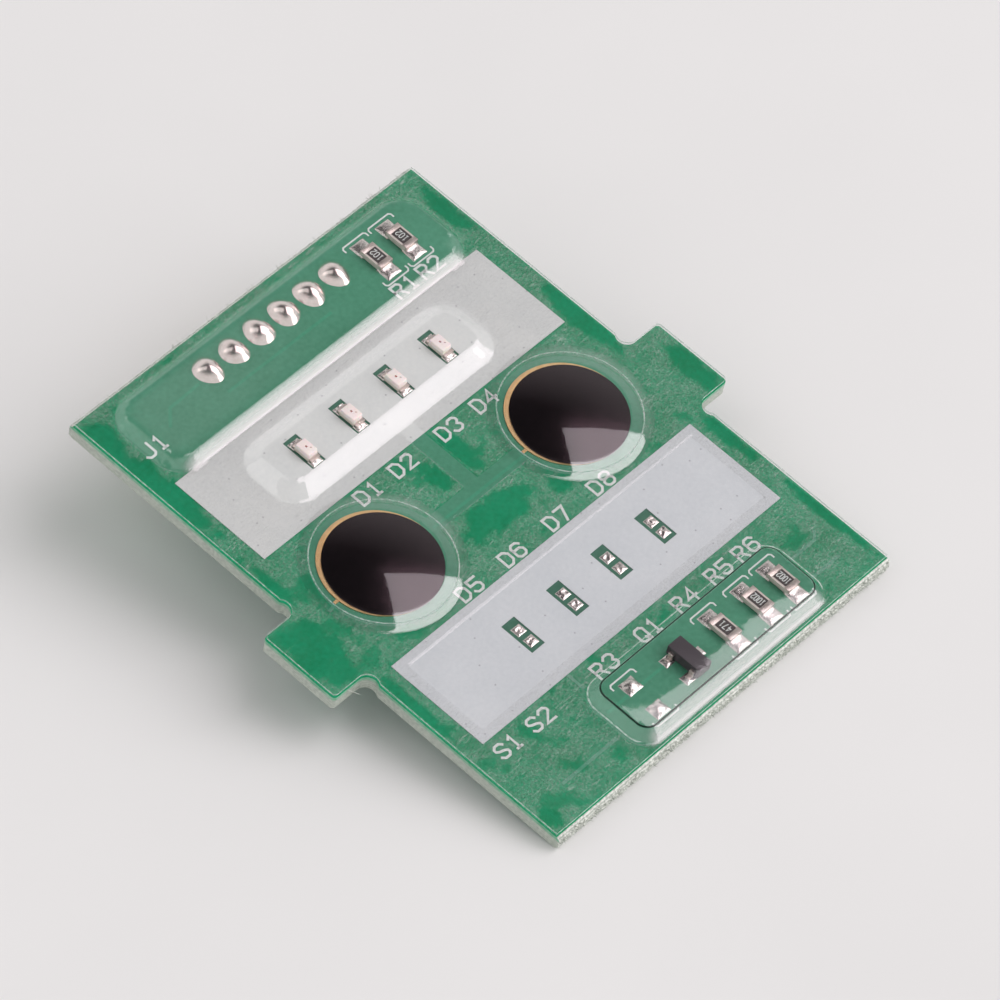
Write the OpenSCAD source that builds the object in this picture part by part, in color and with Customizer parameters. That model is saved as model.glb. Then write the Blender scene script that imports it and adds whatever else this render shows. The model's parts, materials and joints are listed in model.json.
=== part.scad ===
// Elevator call button board: push-button circuit board with an embossed clear film over two snap domes.
// Millimetres, +Z up. The board leans on its underside connector and on its lower edge, as it lies on a bench.
// Inside the modules X runs to the right, Y toward the connector edge and Z out of the board.
// Zero is the middle of the board's top face.

/* [Board] */
// width of the board between its routed long sides
board_w = 34.1; // [30:0.1:40]
// length of the board over the two snapped edges
board_l = 45.6; // [40:0.1:55]
// thickness of the laminate
board_t = 1.2; // [1:0.1:2.4]
// how far a scored edge runs in from the top face to the snapped web
score_run = 0.3; // [0.1:0.05:0.6]
// depth of the score on each face
score_depth = 0.2; // [0.1:0.05:0.45]
// length of the locating tab along the board
tab_l = 6.6; // [4:0.1:12]
// how far a locating tab stands out from the side
tab_out = 3.0; // [2:0.1:5]
// distance of the tabs from the middle of the board
tab_y = -1.7; // [-6:0.1:6]
// rounding of the outer tab corners
tab_corner_r = 0.3; // [0.2:0.1:1]
// radius of the cutter at the inner tab corners
relief_r = 0.8; // [0.5:0.05:1.2]
// how far the cutter bites into the board side
relief_bite = 0.2; // [0:0.05:0.4]

/* [Connector] */
// distance between neighbouring pins
pin_pitch = 2.54; // [2:0.01:2.54]
// number of pins in the row
pin_count = 6; // [4:1:8]
// side of a square pin
pin_side = 0.64; // [0.5:0.01:0.7]
// middle of the pin row across the board
pin_row_x = -0.3; // [-3:0.1:3]
// the pin row in from the connector edge
pin_row_in = 3.2; // [3.2:0.05:5]
// bore of a plated pin hole
pin_hole_d = 1.0; // [0.95:0.05:1.2]
// height of the shroud under the board
shroud_h = 7.0; // [5:0.1:9]
// depth of the shroud across the pin row
shroud_d = 5.75; // [4.5:0.05:5.75]
// length that the shroud adds to the pin row
shroud_extra = 4.9; // [4:0.1:6]
// wall of the shroud
shroud_wall = 0.8; // [0.5:0.05:1]
// base of the shroud next to the board
shroud_base = 2.2; // [1:0.1:3]
// width of a keying slot in the shroud wall
key_slot_w = 1.8; // [0.8:0.1:2]
// how far the pin tips stay inside the shroud mouth
pin_recess = 1.4; // [0.2:0.1:2]
// gap between a pin and the shroud base
pin_fit = 0.01; // [0:0.01:0.05]
// how far a pin reaches over the top of the board
pin_over = 0.45; // [0.3:0.05:0.5]
// radius of a soldered pin joint
joint_r = 0.95; // [0.8:0.05:1.1]
// height of a soldered pin joint
joint_h = 0.7; // [0.65:0.05:0.75]

/* [White print] */
// width of a reflecting print block
print_w = 30.5; // [24:0.1:32]
// length of a reflecting print block
print_l = 8.45; // [6:0.05:10]
// thickness of the white ink
print_t = 0.05; // [0.03:0.01:0.1]
// the upper block along the board
print_upper_y = 10.3; // [9:0.1:12]
// the lower block along the board
print_lower_y = -9.95; // [-12:0.05:-9]
// width of a lamp window in the print
window_w = 1.3; // [1:0.05:1.6]
// length of a lamp window in the print
window_l = 2.88; // [2.4:0.02:3.4]

/* [Lamps] */
// distance between neighbouring lamps
led_pitch = 4.52; // [4:0.01:5]
// middle of the lamp row across the board
led_row_x = 0.13; // [-2:0.01:2]
// the lamp row above the middle of its print block
led_row_up = 0.2; // [0:0.05:0.5]
// how far a lamp lies below the middle of its window
led_down = 0.12; // [0:0.02:0.14]
// length of a lamp
led_l = 1.9; // [1.6:0.1:2]
// width of a lamp
led_w = 0.9; // [0.8:0.05:1.15]
// height of the lamp carrier
led_base_h = 0.25; // [0.2:0.01:0.3]
// height of the clear lens over the carrier
led_lens_h = 0.4; // [0.3:0.01:0.5]
// length of one plated lamp end
led_end_l = 0.25; // [0.15:0.01:0.3]
// length of one soldered lamp pad
led_pad_l = 0.9; // [0.6:0.05:1]
// width that a lamp pad adds to the lamp
led_pad_extra = 0.1; // [0:0.05:0.3]
// length of the lens at its foot
led_lens_l = 1.4; // [0.9:0.05:1.4]
// how far a lens end leans in
led_lens_draft = 0.07; // [0.02:0.01:0.15]
// side of a tinned pad in an empty lamp window
spare_pad_side = 0.95; // [0.7:0.05:1.2]
// middle of such a pad from the middle of its window
spare_pad_at = 0.68; // [0.6:0.02:0.9]
// thickness of the tin on such a pad
spare_tin_t = 0.07; // [0.03:0.01:0.1]

/* [Chip parts] */
// length of a chip resistor
chip_l = 2.0; // [1.6:0.1:3.2]
// width of a chip resistor
chip_w = 1.25; // [0.8:0.05:1.6]
// height of a chip resistor
chip_h = 0.5; // [0.4:0.05:0.6]
// length of one plated chip end
chip_end_l = 0.4; // [0.2:0.05:0.5]
// plating over the chip end
chip_end_t = 0.03; // [0.02:0.01:0.05]
// middle of a chip pad from the middle of the chip
chip_pad_at = 1.25; // [1:0.05:1.6]
// length of a chip pad
chip_pad_l = 1.2; // [1:0.05:1.5]
// width of a chip pad
chip_pad_w = 1.35; // [1:0.05:1.6]
// height of the solder fillet at a chip end
fillet_h = 0.35; // [0.2:0.05:0.5]
// thickness of a tinned pad
pad_t = 0.05; // [0.03:0.01:0.1]
// how far the steep part of a fillet stands out from the chip
fillet_toe = 0.2; // [0.1:0.05:0.4]
// radius of the rounded solder on an empty chip pad
bump_r = 0.58; // [0.4:0.02:0.6]
// height of the rounded solder on an empty chip pad
bump_h = 0.27; // [0.15:0.01:0.35]
// the empty chip place across the board
spare_chip_x = -4.28; // [-5:0.02:-3.5]
// the two chips beside the pin row in from the connector edge
chip_upper_in = 4.15; // [4:0.05:5]
// first chip beside the pin row, across the board
upper_chip_a_x = 9.25; // [9:0.05:10]
// second chip beside the pin row, across the board
upper_chip_b_x = 11.85; // [11.6:0.05:13]
// first chip of the lower row, across the board
lower_chip_a_x = 3.93; // [3:0.01:5]
// second chip of the lower row, across the board
lower_chip_b_x = 7.3; // [6.5:0.05:7.8]
// third chip of the lower row, across the board
lower_chip_c_x = 10.0; // [9.4:0.05:10.1]
// the row of chips in from the lower edge
chip_lower_in = 3.85; // [3.8:0.05:5]

/* [Transistor] */
// length of the moulded body
transistor_l = 2.9; // [2.8:0.05:3]
// width of the moulded body
transistor_w = 1.3; // [1.2:0.05:1.4]
// height of the moulded body
transistor_h = 0.88; // [0.8:0.02:0.9]
// distance between the two leads on one side
transistor_pitch = 1.9; // [1.8:0.05:2]
// the transistor across the board
transistor_x = 0.15; // [-0.5:0.05:0.5]
// width of one lead
lead_w = 0.4; // [0.3:0.05:0.5]
// thickness of one lead
lead_t = 0.13; // [0.1:0.01:0.2]
// how far a lead reaches out of the body
lead_out = 0.5; // [0.4:0.05:0.7]
// where a lead turns down, out from the body
lead_knee = 0.2; // [0.15:0.01:0.3]
// how deep a lead sits in the body
lead_root = 0.2; // [0.1:0.01:0.3]
// height at which a lead leaves the body over its pad
lead_exit = 0.42; // [0.3:0.01:0.5]
// gap under the moulded body over its pads
stand_off = 0.04; // [0.02:0.01:0.1]
// length of a transistor pad
lead_pad_l = 0.9; // [0.7:0.05:1.1]
// width of a transistor pad
lead_pad_w = 0.8; // [0.6:0.05:0.9]
// how far a pad's middle lies in from the lead tip
lead_pad_in = 0.1; // [0:0.05:0.2]

/* [Snap domes] */
// diameter of a snap dome
dome_d = 8.5; // [6:0.1:10]
// height of the dome crown over its rim
dome_rise = 0.42; // [0.3:0.01:0.6]
// sheet of the dome
dome_t = 0.08; // [0.06:0.01:0.1]
// distance between the two domes
dome_spacing = 19.0; // [16:0.1:22]
// the domes along the board
dome_y = 0.4; // [-1:0.1:1]
// outer diameter of the gold ring contact
ring_d = 8.8; // [8:0.1:10]
// inner diameter of the gold ring contact
ring_bore = 6.2; // [5:0.1:7]
// diameter of the gold centre contact
centre_d = 3.0; // [2:0.1:4]
// thickness of the plated contacts
contact_t = 0.07; // [0.05:0.01:0.1]
// how far the ring lies to the left of its dome
ring_left = 0.1; // [0:0.01:0.15]
// how far the ring lies above its dome
ring_up = 0.2; // [0:0.01:0.2]

/* [Cover film] */
// clear polyester film
film_t = 0.15; // [0.1:0.01:0.25]
// adhesive spacer under the film
spacer_t = 0.2; // [0.1:0.01:0.3]
// how far the film stays inside the board edge
film_inset = 0.05; // [0:0.05:0.6]
// corner rounding at the foot of the two pockets in the upper half
pocket_r = 2.2; // [2.2:0.1:2.5]
// corner rounding at the foot of the pocket over the chip row
chip_pocket_r = 1.7; // [1.2:0.1:2.2]
// how far the wall over the pin joints runs in over its height
header_wall_run = 0.65; // [0.6:0.05:1.3]
// how far the wall over the lamps runs in over its height
led_wall_run = 1.25; // [1:0.05:2]
// how far the wall over the chip row runs in over its height
chip_wall_run = 0.75; // [0.5:0.05:1]
// height of the pocket over the pin joints
header_pocket_h = 0.7; // [0.7:0.05:1.5]
// width of the pocket over the pin joints
header_pocket_w = 30.1; // [26:0.1:31]
// length of the pocket over the pin joints
header_pocket_l = 7.35; // [6:0.05:8.4]
// middle of the pocket over the pin joints in from the connector edge
header_pocket_in = 4.75; // [4.6:0.05:6]
// height of the pocket over the lamps
led_pocket_h = 0.75; // [0.7:0.05:1]
// width of the pocket over the lamps
led_pocket_w = 21.5; // [18:0.1:24]
// length of the pocket over the lamps
led_pocket_l = 6.15; // [5:0.05:7]
// middle of the pocket over the lamps across the board
led_pocket_x = -0.3; // [-0.6:0.05:0.6]
// how far the middle of that pocket lies below the lamp windows
led_pocket_down = 0.2; // [0.1:0.05:0.3]
// height of the pocket over the chip row
chip_pocket_h = 0.85; // [0.85:0.05:1.2]
// width of the pocket over the chip row
chip_pocket_w = 19.4; // [17:0.1:20]
// length of the pocket over the chip row
chip_pocket_l = 6.3; // [5.5:0.05:6.3]
// middle of the pocket over the chip row across the board
chip_pocket_x = 2.0; // [1.5:0.02:2.5]
// inset of the spacer window in the lower print block
spare_window_inset = 0.8; // [0.5:0.05:1.2]
// width of the air channel between the two domes
vent_w = 1.35; // [0.5:0.05:1.5]
// width of the air channel up to the lamp pocket
vent_stem_w = 1.35; // [0.5:0.05:1.5]
// middle of that channel across the board
vent_stem_x = 0.07; // [-1:0.01:1]

/* [Film buttons] */
// diameter of the moving crown of a film blister
crown_d = 10.0; // [9:0.1:11]
// height of the crown over its rim
crown_rise = 0.15; // [0.1:0.01:0.3]
// gap between the crown and its collar
crown_gap = 0.1; // [0.05:0.01:0.2]
// gap between the dome and the crown over it
dome_to_crown = 0.05; // [0.02:0.01:0.1]
// width of the collar round the crown
collar_w = 0.45; // [0.3:0.05:0.8]
// gap left between the pressed dome and the centre contact
press_gap = 0.02; // [0.01:0.01:0.05]

/* [Hidden] */
$fn = 64;
cap_steps = 12;
over = 1;
half_w = board_w / 2;
half_l = board_l / 2;
top_l = board_l - 2 * score_run;
tab_top = tab_y + tab_l / 2;
tab_low = tab_y - tab_l / 2;
pin_x = [for (i = [0 : pin_count - 1]) pin_row_x + (i - (pin_count - 1) / 2) * pin_pitch];
led_x = [for (i = [0 : 3]) led_row_x + (i - 1.5) * led_pitch];
led_y = print_upper_y + led_row_up;
pin_row_y = half_l - pin_row_in;
chip_upper_y = half_l - chip_upper_in;
chip_lower_y = -half_l + chip_lower_in;
header_pocket_y = half_l - header_pocket_in;
spare_y = print_lower_y;
chip_at = [
    [upper_chip_a_x, chip_upper_y], [upper_chip_b_x, chip_upper_y],
    [lower_chip_a_x, chip_lower_y], [lower_chip_b_x, chip_lower_y], [lower_chip_c_x, chip_lower_y]
];
dome_x = [-dome_spacing / 2, dome_spacing / 2];
bump_line = [for (i = [cap_steps : -1 : 0]) [bump_r * i / cap_steps, bump_h * (1 - pow(i / cap_steps, 2))]];
film_low = spacer_t;
film_top = spacer_t + film_t;
led_pocket_y = led_y - led_pocket_down;
lamp_y = led_y - led_down;
chip_pocket_y = chip_lower_y;
dome_seat = contact_t;
dome_apex = dome_seat + dome_t + dome_rise;
crown_apex_low = dome_apex + dome_to_crown;
crown_rim_low = crown_apex_low - crown_rise;
crown_rim_top = crown_rim_low + film_t;
collar_bore_r = crown_d / 2 + crown_gap;
button_travel = dome_seat + dome_rise - contact_t - press_gap;
joint_ball_r = (joint_r * joint_r + joint_h * joint_h) / (2 * joint_h);
shroud_len = (pin_count - 1) * pin_pitch + shroud_extra;
pin_low = -board_t - shroud_h + pin_recess;
rest_y = -(half_l - score_run);
lean = atan(shroud_h / (pin_row_y - shroud_d / 2 - rest_y));
lift = -(rest_y * sin(lean) - board_t * cos(lean));

// lays the board on the bench, leaning on the connector and the lower edge
module on_bench() {
    translate([0, -board_t * sin(lean) / 2, lift])
        rotate([lean, 0, 0])
            children();
}

// block with its middle at x, y and its underside at z
module slab(x, y, z, w, l, h) {
    translate([x - w / 2, y - l / 2, z])
        cube([w, l, h]);
}

// plate with rounded corners, its middle at zero and its underside at zero
module rounded_plate(w, l, h, r) {
    slab(0, 0, 0, w - 2 * r, l, h);
    slab(0, 0, 0, w, l - 2 * r, h);
    for (sx = [-1, 1], sy = [-1, 1])
        translate([sx * (w / 2 - r), sy * (l / 2 - r), 0])
            cylinder(h = h, r = r);
}

// rounded plate with walls that lean in, the form of an embossed pocket
module rounded_frustum(w, l, h, r, run) {
    rotate([90, 0, 90])
        translate([0, 0, -(w / 2 - r)])
            linear_extrude(height = w - 2 * r)
                polygon([[-l / 2, 0], [l / 2, 0], [l / 2 - run, h], [-l / 2 + run, h]]);
    rotate([90, 0, 0])
        translate([0, 0, -(l / 2 - r)])
            linear_extrude(height = l - 2 * r)
                polygon([[-w / 2, 0], [w / 2, 0], [w / 2 - run, h], [-w / 2 + run, h]]);
    for (sx = [-1, 1], sy = [-1, 1])
        translate([sx * (w / 2 - r), sy * (l / 2 - r), 0])
            cylinder(h = h, r1 = r, r2 = r - run);
}

// shallow round cap of even sheet, rim underside at zero, turned from its section
module cap_shell(d, rise, sheet) {
    upper = [for (i = [0 : cap_steps]) [d / 2 * i / cap_steps, sheet + rise * (1 - pow(i / cap_steps, 2))]];
    lower = [for (i = [cap_steps : -1 : 0]) [d / 2 * i / cap_steps, rise * (1 - pow(i / cap_steps, 2))]];
    rotate_extrude()
        polygon(concat(upper, lower));
}

// round bites of the cutter at the four inner tab corners
module relief_cuts(r, z, h) {
    for (sx = [-1, 1])
        for (at = [tab_top + relief_r, tab_low - relief_r])
            translate([sx * (half_w + relief_r - relief_bite), at, z])
                cylinder(h = h, r = r);
}

module circuit_board() {
    color("seagreen")
    difference() {
        union() {
            rotate([90, 0, 90])
                translate([0, 0, -half_w])
                    linear_extrude(height = board_w)
                        polygon([
                            [-half_l + score_run, 0], [-half_l, -score_depth],
                            [-half_l, -board_t + score_depth], [-half_l + score_run, -board_t],
                            [half_l - score_run, -board_t], [half_l, -board_t + score_depth],
                            [half_l, -score_depth], [half_l - score_run, 0]
                        ]);
            translate([0, tab_y, -board_t])
                rounded_plate(board_w + 2 * tab_out, tab_l, board_t, tab_corner_r);
            slab(0, tab_y, -board_t, board_w + 2 * (relief_r - relief_bite), tab_l + 2 * relief_r, board_t);
        }
        relief_cuts(relief_r, -board_t - over, board_t + 2 * over);
        for (x = pin_x)
            translate([x, pin_row_y, -board_t - over])
                cylinder(h = board_t + 2 * over, d = pin_hole_d);
    }
}

// outline of the film and of its adhesive, inside the board edge
module film_outline(z, h) {
    difference() {
        union() {
            slab(0, 0, z, board_w - 2 * film_inset, top_l - 2 * film_inset, h);
            translate([0, tab_y, z])
                rounded_plate(board_w + 2 * (tab_out - film_inset), tab_l - 2 * film_inset, h, tab_corner_r);
        }
        relief_cuts(relief_r + film_inset, z - over, h + 2 * over);
    }
}

module print_block(y) {
    color("gainsboro")
    difference() {
        slab(0, y, 0, print_w, print_l, print_t);
        for (x = led_x)
            slab(x, y == print_upper_y ? led_y : spare_y, -over, window_w, window_l, print_t + 2 * over);
    }
}

module reflector_print_upper() print_block(print_upper_y);

module reflector_print_lower() print_block(print_lower_y);

module ring_contact(i) {
    color("gold")
    translate([dome_x[i] - ring_left, dome_y + ring_up, 0])
        difference() {
            cylinder(h = contact_t, d = ring_d);
            translate([0, 0, -over])
                cylinder(h = contact_t + 2 * over, d = ring_bore);
        }
}

module ring_contact_left() ring_contact(0);

module ring_contact_right() ring_contact(1);

module centre_contact(i) {
    color("gold")
    translate([dome_x[i], dome_y, 0])
        cylinder(h = contact_t, d = centre_d);
}

module centre_contact_left() centre_contact(0);

module centre_contact_right() centre_contact(1);

module snap_dome(i) {
    color("dimgray")
    translate([dome_x[i], dome_y, dome_seat])
        cap_shell(dome_d, dome_rise, dome_t);
}

module snap_dome_left() snap_dome(0);

module snap_dome_right() snap_dome(1);

// the spaces that the film spans without glue
module pocket_feet(z, h) {
    translate([0, header_pocket_y, z])
        rounded_plate(header_pocket_w, header_pocket_l, h, pocket_r);
    translate([led_pocket_x, led_pocket_y, z])
        rounded_plate(led_pocket_w, led_pocket_l, h, pocket_r);
    translate([chip_pocket_x, chip_pocket_y, z])
        rounded_plate(chip_pocket_w, chip_pocket_l, h, chip_pocket_r);
}

module spacer_adhesive() {
    color("lightcyan")
    difference() {
        film_outline(0, spacer_t);
        pocket_feet(-over, spacer_t + 2 * over);
        for (x = dome_x)
            translate([x, dome_y, -over])
                cylinder(h = spacer_t + 2 * over, r = collar_bore_r);
        slab(0, dome_y, -over, dome_spacing, vent_w, spacer_t + 2 * over);
        slab(
            vent_stem_x, (dome_y + led_pocket_y) / 2, -over,
            vent_stem_w, led_pocket_y - dome_y, spacer_t + 2 * over
        );
        slab(
            0, print_lower_y, -over, print_w - 2 * spare_window_inset,
            print_l - 2 * spare_window_inset, spacer_t + 2 * over
        );
        for (y = [print_upper_y, print_lower_y])
            slab(0, y, -over, print_w, print_l, over + print_t);
    }
}

// the three embossed pockets as solid forms standing at height z
module pocket_forms(z) {
    translate([0, header_pocket_y, z])
        rounded_frustum(header_pocket_w, header_pocket_l, header_pocket_h, pocket_r, header_wall_run);
    translate([led_pocket_x, led_pocket_y, z])
        rounded_frustum(led_pocket_w, led_pocket_l, led_pocket_h, pocket_r, led_wall_run);
    translate([chip_pocket_x, chip_pocket_y, z])
        rounded_frustum(chip_pocket_w, chip_pocket_l, chip_pocket_h, chip_pocket_r, chip_wall_run);
}

module cover_film() {
    color("lightblue", 0.4)
    difference() {
        union() {
            film_outline(film_low, film_t);
            pocket_forms(film_top);
            for (x = dome_x)
                translate([x, dome_y, film_low])
                    cylinder(
                        h = crown_rim_top - film_low,
                        r1 = collar_bore_r + collar_w, r2 = collar_bore_r + collar_w / 2
                    );
        }
        pocket_forms(film_low);
        pocket_feet(film_low - over, over);
        for (x = dome_x)
            translate([x, dome_y, film_low - over])
                cylinder(h = crown_rim_top - film_low + 2 * over, r = collar_bore_r);
    }
}

module film_button(i) {
    color("lightblue", 0.6)
    translate([dome_x[i], dome_y, crown_rim_low])
        cap_shell(crown_d, crown_rise, film_t);
}

module film_button_left() film_button(0);

module film_button_right() film_button(1);

module led_carrier(i) {
    color("ivory")
    slab(led_x[i], lamp_y, pad_t, led_w, led_l - 2 * led_end_l, led_base_h);
}

module led_lens(i) {
    color("mistyrose")
    translate([led_x[i] - led_w / 2, lamp_y, pad_t + led_base_h])
        rotate([90, 0, 90])
            linear_extrude(height = led_w)
                polygon([
                    [-led_lens_l / 2, 0], [led_lens_l / 2, 0],
                    [led_lens_l / 2 - led_lens_draft, led_lens_h],
                    [-led_lens_l / 2 + led_lens_draft, led_lens_h]
                ]);
}

module led_ends(i) {
    color("silver")
    for (side = [-1, 1])
        slab(led_x[i], lamp_y + side * (led_l - led_end_l) / 2, pad_t, led_w, led_end_l, led_base_h);
}

module led_1_carrier() led_carrier(0);

module led_1_lens() led_lens(0);

module led_1_ends() led_ends(0);

module led_2_carrier() led_carrier(1);

module led_2_lens() led_lens(1);

module led_2_ends() led_ends(1);

module led_3_carrier() led_carrier(2);

module led_3_lens() led_lens(2);

module led_3_ends() led_ends(2);

module led_4_carrier() led_carrier(3);

module led_4_lens() led_lens(3);

module led_4_ends() led_ends(3);

// the chip inside its plating, with a width of its own
module chip_core(i, w) {
    slab(
        chip_at[i][0], chip_at[i][1], pad_t + chip_end_t,
        w, chip_l - 2 * chip_end_t, chip_h - 2 * chip_end_t
    );
}

module resistor_body(i) {
    color("dimgray")
    chip_core(i, chip_w);
}

// plated caps that wrap the two ends of the chip
module resistor_ends(i) {
    color("silver")
    difference() {
        for (side = [-1, 1])
            slab(
                chip_at[i][0], chip_at[i][1] + side * (chip_l - chip_end_l) / 2, pad_t,
                chip_w, chip_end_l, chip_h
            );
        chip_core(i, chip_w + 2 * over);
    }
}

module resistor_1_body() resistor_body(0);

module resistor_1_ends() resistor_ends(0);

module resistor_2_body() resistor_body(1);

module resistor_2_ends() resistor_ends(1);

module resistor_3_body() resistor_body(2);

module resistor_3_ends() resistor_ends(2);

module resistor_4_body() resistor_body(3);

module resistor_4_ends() resistor_ends(3);

module resistor_5_body() resistor_body(4);

module resistor_5_ends() resistor_ends(4);

module transistor_body() {
    color("black")
    difference() {
        slab(transistor_x, chip_lower_y, pad_t + stand_off, transistor_w, transistor_l, transistor_h);
        transistor_lead_forms();
    }
}

// two leads on the left and one on the right, bent down to their pads
module transistor_lead_forms() {
    for (side = [-1, 1])
        transistor_lead(-1, side * transistor_pitch / 2);
    transistor_lead(1, 0);
}

// one bent lead: out of the body, down, and along the pad
module transistor_lead(side, along) {
    out_x = transistor_x + side * (transistor_w / 2 + lead_out);
    knee_x = transistor_x + side * (transistor_w / 2 + lead_knee);
    root_x = transistor_x + side * (transistor_w / 2 - lead_root);
    y = chip_lower_y + along;
    slab((root_x + knee_x) / 2, y, pad_t + lead_exit, lead_root + lead_knee, lead_w, lead_t);
    slab(knee_x - side * lead_t / 2, y, pad_t, lead_t, lead_w, lead_exit + lead_t);
    slab((knee_x + out_x) / 2 - side * lead_t / 2, y, pad_t, abs(out_x - knee_x) + lead_t, lead_w, lead_t);
}

module transistor_leads() {
    color("silver")
    transistor_lead_forms();
}

module led_solder() {
    color("silver")
    for (x = led_x, side = [-1, 1])
        slab(x, lamp_y + side * (led_l - led_end_l) / 2, 0, led_w + led_pad_extra, led_pad_l, pad_t);
}

// tinned pads with the sloped fillets at the chip ends
module resistor_solder() {
    color("silver")
    for (at = chip_at, side = [-1, 1]) {
        slab(at[0], at[1] + side * chip_pad_at, 0, chip_pad_w, chip_pad_l, pad_t);
        translate([at[0] - chip_w / 2, at[1], pad_t])
            rotate([90, 0, 90])
                linear_extrude(height = chip_w)
                    polygon([
                        [side * chip_l / 2, 0], [side * (chip_pad_at + chip_pad_l / 2), 0],
                        [side * (chip_l / 2 + fillet_toe), fillet_h / 3], [side * chip_l / 2, fillet_h]
                    ]);
    }
}

module transistor_solder() {
    color("silver")
    for (at = [[-1, 1], [-1, -1], [1, 0]])
        slab(
            transistor_x + at[0] * (transistor_w / 2 + lead_out - lead_pad_in),
            chip_lower_y + at[1] * transistor_pitch / 2, 0, lead_pad_l, lead_pad_w, pad_t
        );
}

// two tinned pads in each empty lamp window
module spare_led_pads() {
    color("silver")
    for (x = led_x, side = [-1, 1])
        slab(x, spare_y + side * spare_pad_at, 0, spare_pad_side, spare_pad_side, pad_t + spare_tin_t);
}

// two tinned pads of the place left without a chip, with rounded solder on them
module spare_resistor_pads() {
    color("silver")
    for (side = [-1, 1])
        translate([spare_chip_x, chip_lower_y + side * chip_pad_at, 0]) {
            slab(0, 0, 0, chip_pad_w, chip_pad_l, pad_t);
            translate([0, 0, pad_t])
                rotate_extrude()
                    polygon(concat([[0, 0]], bump_line));
        }
}

// round solder joints over the pin ends
module header_solder() {
    color("silver")
    for (x = pin_x)
        translate([x, pin_row_y, 0])
            difference() {
                intersection() {
                    translate([0, 0, joint_h - joint_ball_r])
                        sphere(r = joint_ball_r);
                    cylinder(h = joint_h + over, r = joint_r + over);
                }
                slab(0, 0, -over, pin_side, pin_side, over + pin_over);
            }
}

module header_pins() {
    color("goldenrod")
    for (x = pin_x)
        slab(x, pin_row_y, pin_low, pin_side, pin_side, pin_over - pin_low);
}

module header_shroud() {
    color("whitesmoke")
    translate([pin_row_x, pin_row_y, -board_t - shroud_h])
        difference() {
            slab(0, 0, 0, shroud_len, shroud_d, shroud_h);
            slab(
                0, 0, -over, shroud_len - 2 * shroud_wall, shroud_d - 2 * shroud_wall,
                over + shroud_h - shroud_base
            );
            for (sx = [-1, 1])
                slab(
                    sx * pin_pitch * 1.5, -shroud_d / 2, -over, key_slot_w, 4 * shroud_wall,
                    over + shroud_h - shroud_base
                );
            for (x = pin_x)
                slab(x - pin_row_x, 0, 0, pin_side + 2 * pin_fit, pin_side + 2 * pin_fit, shroud_h + over);
        }
}

on_bench() circuit_board();
on_bench() reflector_print_upper();
on_bench() reflector_print_lower();
on_bench() ring_contact_left();
on_bench() ring_contact_right();
on_bench() centre_contact_left();
on_bench() centre_contact_right();
on_bench() snap_dome_left();
on_bench() snap_dome_right();
on_bench() spacer_adhesive();
on_bench() cover_film();
on_bench() film_button_left();
on_bench() film_button_right();
on_bench() led_1_carrier();
on_bench() led_1_lens();
on_bench() led_1_ends();
on_bench() led_2_carrier();
on_bench() led_2_lens();
on_bench() led_2_ends();
on_bench() led_3_carrier();
on_bench() led_3_lens();
on_bench() led_3_ends();
on_bench() led_4_carrier();
on_bench() led_4_lens();
on_bench() led_4_ends();
on_bench() resistor_1_body();
on_bench() resistor_1_ends();
on_bench() resistor_2_body();
on_bench() resistor_2_ends();
on_bench() resistor_3_body();
on_bench() resistor_3_ends();
on_bench() resistor_4_body();
on_bench() resistor_4_ends();
on_bench() resistor_5_body();
on_bench() resistor_5_ends();
on_bench() transistor_body();
on_bench() transistor_leads();
on_bench() led_solder();
on_bench() resistor_solder();
on_bench() transistor_solder();
on_bench() spare_led_pads();
on_bench() spare_resistor_pads();
on_bench() header_solder();
on_bench() header_pins();
on_bench() header_shroud();
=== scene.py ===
import json
import math
import random

import bmesh
import bpy
from mathutils import Euler, Matrix, Vector, geometry, noise


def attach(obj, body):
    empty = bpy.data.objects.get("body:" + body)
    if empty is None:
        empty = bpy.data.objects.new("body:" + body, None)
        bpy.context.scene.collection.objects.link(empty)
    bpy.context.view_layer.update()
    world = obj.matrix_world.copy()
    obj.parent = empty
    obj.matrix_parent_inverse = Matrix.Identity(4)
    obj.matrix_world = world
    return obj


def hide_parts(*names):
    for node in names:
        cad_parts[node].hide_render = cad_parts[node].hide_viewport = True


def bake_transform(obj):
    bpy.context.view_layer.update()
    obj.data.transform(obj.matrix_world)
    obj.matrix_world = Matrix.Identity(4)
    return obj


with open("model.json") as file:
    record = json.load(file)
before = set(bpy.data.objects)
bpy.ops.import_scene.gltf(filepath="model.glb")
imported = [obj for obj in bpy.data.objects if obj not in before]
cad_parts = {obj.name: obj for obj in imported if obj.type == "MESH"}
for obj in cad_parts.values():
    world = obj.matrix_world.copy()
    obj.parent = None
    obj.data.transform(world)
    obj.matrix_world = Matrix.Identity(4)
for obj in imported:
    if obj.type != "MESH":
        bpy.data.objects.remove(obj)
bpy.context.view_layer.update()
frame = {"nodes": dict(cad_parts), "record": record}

scene = bpy.context.scene
scene.view_settings.view_transform = "Standard"
random.seed(11)

# sizes below are millimetres in the board's own frame:
# X right, Y toward the connector edge, Z out of the top face, zero in the middle of that face
dome = {
    "x": 9.5, "y": 0.4, "radius": 4.25, "seat": 0.07, "rise": 0.42, "sheet": 0.08, "rings": 24, "turns": 96,
}
blister = {
    "top": 0.77, "capRadius": 5.1, "footRadius": 5.9, "capShare": 0.82, "rings": 60, "turns": 128,
}

pressMount = next(m for m in frame["record"]["mounts"] if m["name"] == "press_point_left")
outward = Vector(pressMount["axis"])
lean = math.atan2(-outward.y, outward.z)
turn = Matrix.Rotation(lean, 4, "X")
origin = Vector(pressMount["pos_m"]) - turn @ Vector((-dome["x"], dome["y"], blister["top"])) * 0.001
toBench = Matrix.Translation(origin) @ turn @ Matrix.Scale(0.001, 4)


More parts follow.
